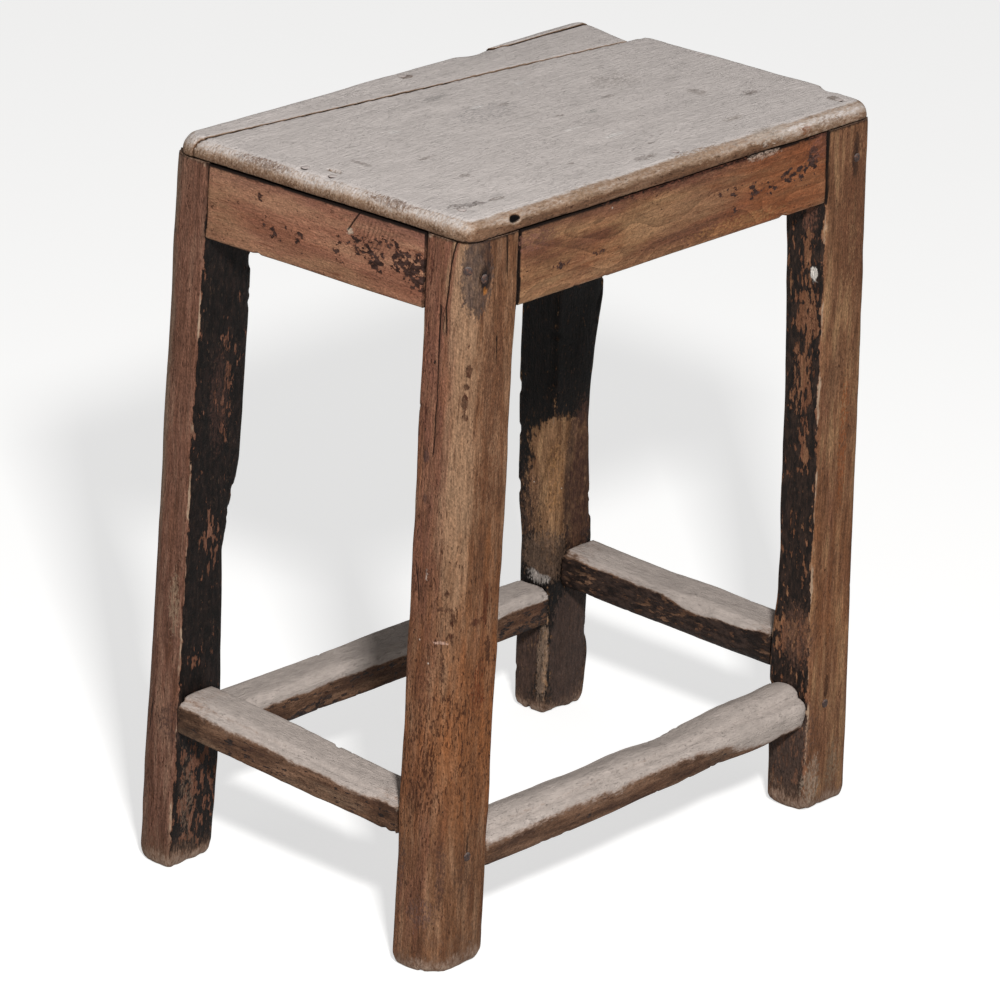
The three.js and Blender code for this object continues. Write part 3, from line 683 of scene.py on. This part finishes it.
def leg_finish(piece, name, leg, relief):
    """Bare outer faces, dark inner ones, dirty joints, painted shade under the seat and dusty feet."""
    places = places_of(piece)
    facings = facings_of(piece)
    x, y, z = places.T
    side_x, side_y = leg["side"]
    inner = np.maximum(-side_x * facings[:, 0], -side_y * facings[:, 1])
    coat = leg["kept"] * ease(inner, 0.5, 0.8) + 0.06 * ease(wander(places, (25, 25, 70), 5), 0, 1)
    for centre, reach, share in COAT_WEAR_AND_SHADE.get(name, ()):
        coat = coat - share * blot(places, centre, reach)
    arris = ease(relief, 0.12, 0.5)
    corner = ease(facings @ np.array((side_x, side_y, 0)) * DIAGONAL, 0.8, 0.99)
    outer_x = ease(side_x * facings[:, 0], 0.75, 0.97)
    inside = ease(-side_x * facings[:, 0], 0.6, 0.9) + ease(-side_y * facings[:, 1], 0.6, 0.9)
    outer_y = ease(side_y * facings[:, 1], 0.6, 0.97)
    upper = ease(z, 150, 330)
    shin = ease(z, 50, 140) * (1 - upper)
    # Painted shade: a dark line along the top few millimetres, where the seat's shadow falls into the gap
    # under it
    shade_under_seat = ease(z, FRAME_TOP - 3.2, FRAME_TOP - 1)
    sole = 1 - ease(z + 5 * wander(places, (7, 7, 7), 38), 2, 13)
    foot = 1 - ease(z + 12 * wander(places, (14, 14, 14), 3), 4, 40)
    joint = beside_aprons(piece, leg)
    rubbed = 0.68 + 0.4 * wander(places, (7, 7, 22), 8)
    pale_streaks = ease(wander(places, (10, 10, 50), 31), 0.1, 1)
    rosy_streaks = ease(wander(places, (12, 12, 60), 6), 0, 1)
    warm_streaks = ease(wander(places, (10, 10, 60), 32), 0, 1)
    low_dirt = (1 - ease(z, 0, 90)) * ease(wander(places, (12, 12, 30), 4), -0.4, 0.8)
    rosy_faces = outer_x * (0.25 + 0.4 * upper) + leg["rosy_inside"] * inside
    paint(
        piece,
        coat=coat - 0.35 * arris,
        rub=arris * rubbed * (1 - 0.5 * foot) * (1 - joint),
        pale=corner * (0.15 + 0.6 * upper) + 0.3 * pale_streaks,
        rosy=rosy_faces + 0.3 * rosy_streaks,
        warm=leg["warm"] * (shin * (0.45 + 0.3 * outer_y) + 0.4 * warm_streaks),
        fleck=0.04 + leg["flecks"] * shin + 0.15 * wander(places, (10, 10, 20), 7) + 0.06 * outer_x,
        grime=0.3 * low_dirt + 0.8 * shade_under_seat + joint,
        dust=0.36 * foot + 0.3 * sole + 0.5 * ease(facings[:, 2], 0.3, 0.7),
    )
    mark(piece, LEG_MARKS[name])


for number, (name, leg) in enumerate(LEGS.items()):
    piece = fine_copy(name, LEG_SPACING)
    top = [(0, 0, 1)]
    guarded = 0.8 * beside_aprons(piece, leg)
    relief = wear(piece, rounds=5, share=0.5 * (1 - guarded), spared=top)
    draw_back(piece, direction=(0, 0, 1), distance=SEAT_GAP)
    chip(piece, size=(9, 9, 15), often=leg["chips"], seed=number, spared=top)
    ripple(piece, size=(16, 16, 40), depth=0.6, seed=10 + number)
    ripple(piece, size=(5, 5, 15), depth=0.22, seed=20 + number)
    gnaw(piece, height=16, depth=leg["sole"], seed=26 + number)
    crack(piece, LEG_CRACKS.get(name, ()), depth=1.0)
    leg_finish(piece, name, leg, relief)
    look = {**LEG_LOOK, **leg["look"], "seed": 4.3 * number}
    fit(piece, name, old_wood("worn hardwood of " + name, ALONG_Z, look))

# The four aprons: thin rails tenoned into the tops of the legs, flush with their outer faces. The
# front one is flat sawn and shows its figure, and the left one is redder.
APRON_SPACING = 1.5
APRON_LOOK = {
    **LEG_LOOK,
    "bare": ("5f3d2c", "76533a", "8b694b"),
    "rosy": "75503e",
    "warm": "7c462a",
    "pale": "8a6a4f",
    "vein": "5a3423",
    "rubbed": "a0856d",
    "rim": "6a3d2a",
    "coat": ("24140f", "33201a", "44302a"),
    "scuff": "5c443a",
    "band": 12,
    "streak": 0.07,
    "fibre": 0.16,
    "grit": 0.18,
    "scratch": 0.12,
    "figure": 0.2,
    "flake": (3, 4.2),
    "ragged": 4,
}
APRONS = {
    "front_apron": {"grain": ALONG_X, "out": (0, -1, 0), "look": {}},
    "left_apron": {
        "grain": ALONG_Y,
        "out": (-1, 0, 0),
        "look": {
            "bare": ("754c3b", "885d49", "966e56"), "rosy": "7a5245", "warm": "87563e", "figure": 0.05,
            "knot": (-202, -24, 484),
        },
    },
    "back_apron": {"grain": ALONG_X, "out": (0, 1, 0), "look": {"bare": ("4f3425", "664733", "7a5a45")}},
    "right_apron": {"grain": ALONG_Y, "out": (1, 0, 0), "look": {"bare": ("563a2a", "6d4d38", "81614a")}},
}
# Clusters where flakes of the dark coat are left: centre, reach and how much
APRON_FLAKES = {
    "front_apron": [
        ((138, -129, 473), (9, 9, 14), 0.72),
        ((125, -129, 466), (13, 9, 8), 0.6),
        ((112, -129, 466), (14, 9, 8), 0.51),
        ((76, -129, 464), (9, 9, 9), 0.54),
        ((93, -129, 463), (18, 9, 8), 0.46),
        ((57, -129, 468), (16, 9, 6), 0.42),
        ((40, -129, 469), (14, 9, 5), 0.38),
        ((57, -129, 453), (8, 9, 5), 0.46),
        ((-78, -129, 457), (14, 9, 4), 0.42),
        ((-116, -129, 456), (16, 9, 5), 0.4),
    ],
    "left_apron": [
        ((-202, 46.5, 476.5), (9, 5, 5), 0.5),
        ((-202, 41.5, 461), (9, 5, 6), 0.5),
        ((-202, 34.5, 455), (9, 5, 8), 0.55),
        ((-202, 24, 461.5), (9, 4, 4), 0.46),
        ((-202, 12, 458.5), (9, 10, 6), 0.46),
        ((-202, -20.5, 461), (9, 6, 12), 0.5),
        ((-202, -40, 466), (9, 17, 11), 0.46),
        ((-202, -52, 459), (9, 15, 11), 0.58),
        ((-202, -62, 473), (9, 20, 7), 0.46),
        ((-202, -74, 463), (9, 18, 16), 0.56),
        ((-202, -87, 461), (9, 12, 20), 0.64),
    ],
}
# Zones of another tone and a pale knot scar: centre, reach, colour and strength
APRON_MARKS = {
    "front_apron": [
        ((84, -129, 486), (34, 8, 5), "a08a7b", 0.56),
        ((150, -129, 480), (30, 8, 20), "6c4436", 0.6),
        ((60, -129, 445), (90, 8, 9), "8a6240", 0.55),
        ((-140, -129, 478), (40, 8, 12), "66453a", 0.55),
        ((10, -129, 486), (150, 8, 7), "5d382b", 0.5),
    ],
    "left_apron": [((-202, -30.5, 473), (5, 4.5, 4), "b3a18f", 0.9)],
}
APRON_CRACKS = {"left_apron": [[(-201.4, -36.7, 485.7), (-201.6, -29.9, 476)]]}
# How far the shoulders at a rail's left or front end, and at its other end, have opened, and how
# much dirt has packed into the joints, for the long rails and for the short ones
SHOULDER_GAPS = {ALONG_X: (0.4, 1.0), ALONG_Y: (0.3, 0.3)}
SHOULDER_DIRT = {ALONG_X: 1.1, ALONG_Y: 0.62}

for number, (name, apron) in enumerate(APRONS.items()):
    piece = fine_copy(name, APRON_SPACING)
    run = np.zeros(3)
    run[apron["grain"]] = 1
    ends = [run, -run, (0, 0, 1)]
    relief = wear(piece, rounds=4, share=0.6, spared=ends)
    chip(piece, size=(14, 14, 9), often=0.5, seed=30 + number, spared=ends)
    near_gap, far_gap = SHOULDER_GAPS[apron["grain"]]
    draw_back(piece, direction=-run, distance=near_gap)
    draw_back(piece, direction=run, distance=far_gap)
    draw_back(piece, direction=(0, 0, 1), distance=SEAT_GAP)
    lump = np.full(3, 14)
    lump[apron["grain"]] = 60
    ripple(piece, size=lump, depth=0.35, seed=40 + number)
    crack(piece, APRON_CRACKS.get(name, ()), depth=0.4)
    places = places_of(piece)
    facings = facings_of(piece)
    outward = facings @ np.array(apron["out"], float)
    coat = 0.8 * ease(-outward, 0.3, 0.7)
    shoulder = ease(np.abs(facings @ run), 0.3, 0.75)
    for centre, reach, share in APRON_FLAKES.get(name, ()):
        coat = np.maximum(coat, share * blot(places, centre, reach))
    below_seat = ease(places[:, 2] + 3 * wander(places, (20, 20, 20), 33), FRAME_TOP - 16, FRAME_TOP)
    # Painted shade: a dark line along the top few millimetres, where the seat's shadow falls into the gap
    # under it
    shade_under_seat = ease(places[:, 2], FRAME_TOP - 3.2, FRAME_TOP - 1)
    toward_right = ease(places[:, 0], -20, 120) * (apron["grain"] == ALONG_X)
    pale_zones = ease(wander(places, (60, 60, 25), 12), -0.2, 0.8)
    rosy_zones = ease(wander(places, (50, 50, 20), 34), 0, 1)
    warm_zones = ease(wander(places, (50, 50, 18), 35), 0, 1)
    underneath = ease(-facings[:, 2], 0.4, 0.8)
    packed = SHOULDER_DIRT[apron["grain"]] * shoulder
    paint(
        piece,
        coat=coat,
        rub=0.7 * ease(relief, 0.1, 0.4) * ease(-facings[:, 2], -0.2, 0.5),
        pale=0.55 * pale_zones * (1 - below_seat),
        rosy=0.6 * below_seat + 0.4 * rosy_zones,
        warm=0.8 * toward_right + 0.4 * warm_zones,
        fleck=0.02 + 0.1 * wander(places, (24, 24, 12), 11) + 0.1 * coat,
        # Dirt packed into the shoulders, painted shade in the line under the seat, and darker in a band
        # under the seat and on faces that look down
        grime=0.3 * below_seat + 0.8 * shade_under_seat + 0.3 * underneath + packed,
        fan=blot(places, (-202, -52, 474), (9, 30, 17)),
    )
    mark(piece, APRON_MARKS.get(name, ()))
    look = {**APRON_LOOK, **apron["look"], "seed": 20 + 3.1 * number}
    fit(piece, name, old_wood("rubbed hardwood of " + name, apron["grain"], look))

# The four stretchers: thicker rails tenoned into the legs near the floor, where feet rest on them.
# Their tops are worn round and grey with dust, and their sides stay brown.
STRETCHER_SPACING = 1.5
STRETCHER_LOOK = {
    **LEG_LOOK,
    "bare": ("422e24", "5c4333", "775a47"),
    "rosy": "5e3f31",
    "warm": "6b4a34",
    "pale": "836c59",
    "vein": "33211a",
    "rubbed": "9c8877",
    "rim": "5c3f30",
    "coat": ("1b1412", "2b201c", "3d2f29"),
    "dust": [(0.1, "5f4738"), (0.4, "866f60"), (0.7, "a19187"), (0.95, "b0a49c")],
    "broken": 1.1,
    "mottle": 0.11,
    "streak": 0.12,
    "fibre": 0.18,
    "grit": 0.22,
    "dash": 0.06,
}
# Each stretcher: how square its worn arris still is, from what part of its section on it is worn,
# how much dark coat its sides keep, and how far a face must look up for dust to start and to cover
STRETCHERS = {
    "front_stretcher": {
        "grain": ALONG_X, "square": 2.1, "exposed": (-0.4, 0.5), "kept": 0, "dusty": (-0.15, 0.8),
    },
    "back_stretcher": {
        "grain": ALONG_X, "square": 7, "exposed": (0.2, 0.9), "kept": 0.3, "dusty": (0.4, 0.95),
    },
    "left_stretcher": {
        "grain": ALONG_Y, "square": 3.4, "exposed": (0.1, 0.8), "kept": 0.2, "dusty": (-0.1, 0.9),
    },
    "right_stretcher": {
        "grain": ALONG_Y, "square": 6, "exposed": (0.2, 0.9), "kept": 0.6, "dusty": (0.35, 0.95),
    },
}
# Places where feet have worn a rail down, or left it proud: centre, reach and the push
RAIL_DENTS = {
    "front_stretcher": [
        ((-39, -102, 90), (36, 28, 14), (0, 0, -1.8)),
        ((39, -102, 90), (34, 28, 14), (0, 0, -1.8)),
        ((112, -102, 90), (40, 28, 14), (0, 0, 1.6)),
        ((165, -106, 90), (36, 28, 14), (0, 0, 1.4)),
        ((-60, -124, 62), (230, 26, 16), (0, -0.6, -2.4)),
        ((150, -124, 62), (90, 26, 16), (0, -0.4, -1.6)),
    ],
    "right_stretcher": [
        ((170, -26, 124), (8, 26, 10), (1, 0, -1.8)),
        ((169, -56, 124), (7, 18, 9), (0.6, 0, -1.2)),
    ],
}
# Where dust laps over an arris, lower down a rail's side than elsewhere: centre and reach
DUSTY_ARRIS = {
    "front_stretcher": [((150, -131, 76), (120, 30, 30))],
    "back_stretcher": [((0, 97, 96), (900, 30, 12))],
    "right_stretcher": [((170, -30, 121), (9, 34, 11)), ((169, -66, 121), (9, 24, 7))],
}


def round_over(piece, grain, square, exposed):
    """Wears the upper arris on a rail's front or left side: to a quarter of an ellipse where square
    is 2, and less where it is more."""
    places = places_of(piece)
    across = [axis for axis in range(3) if axis != grain]
    run = places[:, grain]
    offset = np.empty((len(places), 2))
    for column, axis in enumerate(across):
        line = np.polyfit(run, places[:, axis], 1)
        offset[:, column] = places[:, axis] - np.polyval(line, run)
    half_size = np.percentile(np.abs(offset), 99, axis=0)
    share = np.abs(offset) / half_size
    curve = (share**square).sum(1) ** (1 / square)
    shrink = share.max(1) / np.maximum(curve, 1e-6) - 1
    facing_out = ease((offset / half_size) @ (-DIAGONAL, DIAGONAL), *exposed)
    for column, axis in enumerate(across):
        places[:, axis] += offset[:, column] * shrink * facing_out
    move(piece, places)


for number, (name, stretcher) in enumerate(STRETCHERS.items()):
    grain = stretcher["grain"]
    piece = fine_copy(name, STRETCHER_SPACING)
    round_over(piece, grain, stretcher["square"], stretcher["exposed"])
    run = np.zeros(3)
    run[grain] = 1
    ends = [run, -run]
    relief = wear(piece, rounds=5, share=0.6, spared=ends)
    chip(piece, size=(12, 12, 12), often=0.6, seed=50 + number, spared=ends)
    lump = np.full(3, 13)
    lump[grain] = 38
    ripple(piece, size=lump, depth=0.7, seed=60 + number)
    ripple(piece, size=(6, 6, 6), depth=0.12, seed=70 + number)
    for centre, reach, push in RAIL_DENTS.get(name, ()):
        dent(piece, centre, reach, push)
    places = places_of(piece)
    facings = softened(piece, facings_of(piece), 6)
    upward = facings[:, 2] + 0.14 * wander(places, (26, 26, 12), 13)
    upward += 0.08 * wander(places, (9, 9, 6), 39)
    for centre, reach in DUSTY_ARRIS.get(name, ()):
        upward += 0.8 * blot(places, centre, reach)
    reach = np.abs(places[:, grain]).max()
    near_end = ease(np.abs(places[:, grain]), reach - 50, reach - 28)
    mottle = ease(wander(places, (30, 30, 16), 15), -0.2, 0.8)
    dusty = ease(upward, *stretcher["dusty"])
    paint(
        piece,
        coat=(stretcher["kept"] + 0.3 * mottle) * (1 - dusty),
        rub=0.6 * ease(relief, 0.1, 0.5) * ease(upward, -0.3, 0.3),
        pale=0.5 * ease(wander(places, (40, 40, 20), 16), 0, 1),
        rosy=0.4 * ease(wander(places, (50, 50, 20), 17), 0, 1),
        warm=0.5 * ease(wander(places, (40, 40, 20), 36), 0, 1),
        fleck=0.1 + 0.12 * wander(places, (20, 20, 10), 18),
        # Darker on faces that look down, and dirt near the joints
        grime=0.35 * ease(-upward, 0.3, 0.9) + 0.5 * near_end,
        dust=0.1 + 0.9 * dusty - 0.25 * near_end,
    )
    mark(piece, ())  # no spots, only the layer that the finish reads
    look = {**STRETCHER_LOOK, "seed": 40 + 3.7 * number}
    fit(piece, name, old_wood("dusty hardwood of " + name, grain, look))

# The seat: two dusty grey boards with a worn nose, joined on a slant line, and a strip that has
# split off the rear one. They lie on the frame and are nailed down.
SEAT_SPACING = 1.5
SEAT_LOOK = {
    **STRETCHER_LOOK,
    "bare": ("4f3a2c", "6b5140", "856b56"),
    "pale": "917a66",
    "vein": "3b281e",
    "dust": [(0.08, "4d3627"), (0.24, "735843"), (0.48, "947c69"), (0.8, "ae9e92"), (0.98, "c8bfba")],
    "broken": 0.85,
    "mottle": 0.06,
    "band": 7,
    "streak": 0.12,
    "fibre": 0.16,
    "grit": 0.2,
    "dash": 0.14,
    "specks": 0.04,
}
# Which ways each board faces a neighbour across a joint
SEAT_JOINTS = {
    "seat_board_main": [(0, 1, 0)],
    "seat_board_rear": [(0, -1, 0)],
    "seat_board_strip": [(0, -1, 0), (-1, 0, 0)],
}
JOINT_OPENING = 0.15  # how far each board has shrunk from its joint
SPREAD = 2  # how far the worn ends and front hang out over the frame's edges
# A nail hole, near black as painted shade, knots, stains and scuffs, pale and dark: centre, reach,
# colour and strength
SEAT_MARKS = {
    "seat_board_main": [
        # The nail hole: painted shade, near black inside it
        ((-160, -126, 496), (6.4, 14, 2.5), "050303", 3.0),
        ((147, -67, 501), (12, 7, 3), "8f847e", 0.62),
        ((147, -67.5, 501), (4, 2.6, 3), "57493f", 0.95),
        ((122, -42, 501), (9, 15, 3), "9b918b", 0.62),
        ((-184, 0.5, 501), (2.4, 9, 3), "453932", 1.1),
        ((-160, -1, 501), (4, 16, 3), "988e88", 0.85),
        ((-58, -125.5, 496), (2, 4, 8), "4a3527", 0.9),
        ((36, -23.6, 501), (10, 7, 3), "a5a09b", 0.64),
        ((-14, -111, 501), (20, 7, 3), "8b817b", 0.6),
        ((-180, -98, 500.6), (15, 8, 3), "6f6661", 0.58),
        ((-168, -103, 500.6), (16, 8, 3), "6f6661", 0.58),
        ((-150, -104, 500.6), (13, 5, 3), "857a72", 0.56),
        ((-60, -88, 501), (7, 2.4, 3), "8b817b", 0.7),
        ((70, -10, 501), (12, 4, 3), "978d87", 0.64),
        ((-95, 30, 501), (7, 6, 3), "d3ccc7", 0.8),
        ((-20, 62, 501), (16, 8, 3), "a39c98", 0.72),
        ((-120, -20, 501), (14, 3, 3), "9d938d", 0.75),
        ((95, -95, 501), (18, 6, 3), "948981", 0.6),
        ((150, -127, 494), (34, 10, 6), "7d6552", 0.54),
        ((128, -127, 493.5), (12, 8, 6), "75492f", 0.62),
        ((92, -125, 497), (36, 12, 10), "a99b8f", 0.62),
        ((20, -125, 498), (60, 10, 9), "917863", 0.58),
        ((-95, -125, 497), (40, 10, 8), "8c735e", 0.54),
        ((-20, 20, 501), (60, 26, 3), "a69f9c", 0.47),
        ((100, 10, 501), (40, 30, 3), "a59c96", 0.47),
        ((-198, -60, 498), (7, 36, 8), "6b5443", 0.6),
        ((-199, 45, 498), (7, 40, 8), "6e5747", 0.58),
        ((-130, -60, 501), (8, 5, 3), "968c86", 0.7),
        ((180, -111, 501), (9, 8, 3), "8a7d74", 0.75),
        ((12, -93.6, 501), (6, 3, 3), "8b817b", 0.8),
        ((14, -16, 501), (8, 3, 3), "948a84", 0.7),
        ((4, 24, 501), (9, 4, 3), "9b918b", 0.7),
        ((-13, 31, 501), (9, 2.6, 3), "d8d2ce", 1.0),
        ((48, 48, 501), (9, 3, 3), "d3ccc8", 0.9),
        ((-3, -41, 501), (13, 2.6, 3), "d6cfca", 1.0),
        ((8, -67, 501), (16, 2.6, 3), "dcd6d1", 1.1),
        ((-14, -17, 501), (6, 3, 3), "cdc6c1", 0.75),
        ((-38, -70, 501), (5, 3, 3), "cdc6c1", 0.7),
    ],
    "seat_board_rear": [((2, 107, 501), (9, 6, 3), "7b6c62", 0.9)],
}
# A nail hole, a pit, and broken corners and edges: centre, reach and the push
SEAT_DENTS = {
    "seat_board_main": [
        ((-160, -128.5, 496), (5.5, 8, 3), (0, 2.5, 0)),
        ((204, -116, 498), (24, 26, 24), (-2.4, 0.6, -0.8)),
        ((200, -98, 497), (13, 9, 16), (-5, 0, 0)),
        ((207, -130, 498), (14, 16, 20), (-4, 2.6, -1)),
        ((-184, 0.5, 501), (2.4, 8, 4), (0, 0, -2)),
    ],
    "seat_board_rear": [
        ((84, 115, 496), (26, 9, 14), (0, -4, -1)),
        ((-203, 122, 498), (18, 18, 22), (1.6, -1.6, -0.6)),
    ],
}
for number, (name, joints) in enumerate(SEAT_JOINTS.items()):
    piece = fine_copy(name, SEAT_SPACING)
    wear(piece, rounds=2, share=1.0)
    wear(piece, rounds=4, share=0.7, spared=joints)
    for direction in joints:
        draw_back(piece, direction, distance=JOINT_OPENING)
    places = places_of(piece)
    places[:, 0] += SPREAD * np.sign(places[:, 0]) * ease(np.abs(places[:, 0]), 170, 198)
    places[:, 1] -= SPREAD * ease(-places[:, 1], 96, 125)
    move(piece, places)
    ripple(piece, size=(42, 26, 26), depth=0.4, seed=90 + number)
    ripple(piece, size=(12, 6, 6), depth=0.16, seed=100 + number)
    for centre, reach, push in SEAT_DENTS.get(name, ()):
        dent(piece, centre, reach, push)
    places = places_of(piece)
    facings = facings_of(piece)
    upward = facings[:, 2] + 0.1 * wander(places, (24, 24, 24), 21)
    upward += 0.06 * wander(places, (6, 6, 6), 22)
    front = ease(-facings[:, 1], 0.2, 0.8)
    leftward = ease(-facings[:, 0], 0.2, 0.7)
    edge = 1 - ease(facings[:, 2], 0.9, 0.98)
    flat = ease(facings[:, 2] + 0.02 * wander(places, (9, 9, 9), 37), 0.92, 0.985)
    rim = np.maximum(ease(np.abs(places[:, 0]), 178, 204), ease(-places[:, 1], 98, 128))
    joint = np.zeros(len(places))
    for direction in joints:
        joint = np.maximum(joint, ease(facings @ np.array(direction, float), 0.5, 0.95))
    dust = 0.2 + 0.5 * ease(upward, -0.1, 0.85) + 0.38 * flat + 0.2 * leftward - 0.05 * rim
    dust += 0.1 * wander(places, (34, 34, 30), 40) * edge * (1 - 0.6 * leftward)
    dust += 0.26 * front * ease(places[:, 0], 70, 130)
    # Painted shade: less dust on the front edge's upper slope, which faces the lamp, to dim its highlight
    # there
    dust -= 0.14 * ease(-facings[:, 1], 0.1, 0.3) * ease(facings[:, 2], 0.5, 0.8)
    downward = 1 - ease(upward, -0.2, 0.2)
    paint(
        piece,
        coat=0.3 * ease(-upward, 0, 0.5),
        pale=ease(upward, 0.1, 0.7),
        rosy=0.4 * ease(-wander(places, (30, 30, 10), 24), 0, 1),
        warm=0.5 * front,
        fleck=0.12 + 0.1 * wander(places, (14, 14, 6), 25),
        # Darker on faces that look down, less so on those facing left, and dirt packed into the joint
        # between the boards
        grime=0.3 * downward * (1 - 0.6 * leftward) + 0.9 * joint,
        dust=np.minimum(dust, 1 - 0.24 * leftward) - 0.7 * joint,
    )
    mark(piece, SEAT_MARKS.get(name, ()))
    look = {**SEAT_LOOK, "seed": 60 + 2.9 * number}
    fit(piece, name, old_wood("dusty hardwood of " + name, ALONG_X, look))

# The nails: hand-forged iron with low round heads, driven through the frame's joints and down
# through the seat. They are rusted brown, and those in the seat are as dusty as the wood.
NAIL_SPACING = 0.45


def rusted_iron(name, dusty):
    """Forged iron under a crust of dark rust: dull, with little metal left to shine."""
    material = bpy.data.materials.new(name)
    material.use_nodes = True
    tree = material.node_tree
    shader = tree.nodes["Principled BSDF"]
    spot = add(tree, "TexCoord", {}, out="Object")
    noise = {"Vector": spot, "Scale": 1 / (1.6 * MM), "Detail": 5, "Roughness": 0.65}
    crust = add(tree, "TexNoise", noise)
    stops = [(0.35, "1c1412"), (0.52, "3a2a25"), (0.7, "6e442f")]
    rust = add(tree, "ValToRGB", {0: crust}, stops=stops)
    facing = add(tree, "NewGeometry", {}, out="Normal")
    up = add(tree, "SeparateXYZ", {0: facing}, out="Z")
    share = add(tree, "MapRange", {0: up, 1: 0.2, 2: 0.7, 3: 0, 4: dusty})
    tone = add(tree, "Mix", {0: share, 6: rust, 7: colour("b7ada8")}, out=2, data_type="RGBA")
    tree.links.new(tone, shader.inputs["Base Color"])
    shader.inputs["Metallic"].default_value = 0.15
    shader.inputs["Roughness"].default_value = 0.75
    bump = add(tree, "Bump", {"Height": crust, "Distance": 0.4 * MM, "Strength": 0.8})
    tree.links.new(bump, shader.inputs["Normal"])
    return material


frame_iron = rusted_iron("dark rusted iron", 0.2)
seat_iron = rusted_iron("dusty rusted iron", 0.9)
nails = sorted(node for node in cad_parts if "nail" in node)
for number, name in enumerate(nails):
    piece = fine_copy(name, NAIL_SPACING)
    wear(piece, rounds=3, share=0.8)
    ripple(piece, size=(1.8, 1.8, 1.8), depth=0.18, seed=120 + number)
    fit(piece, name, seat_iron if name.startswith("seat") else frame_iron)
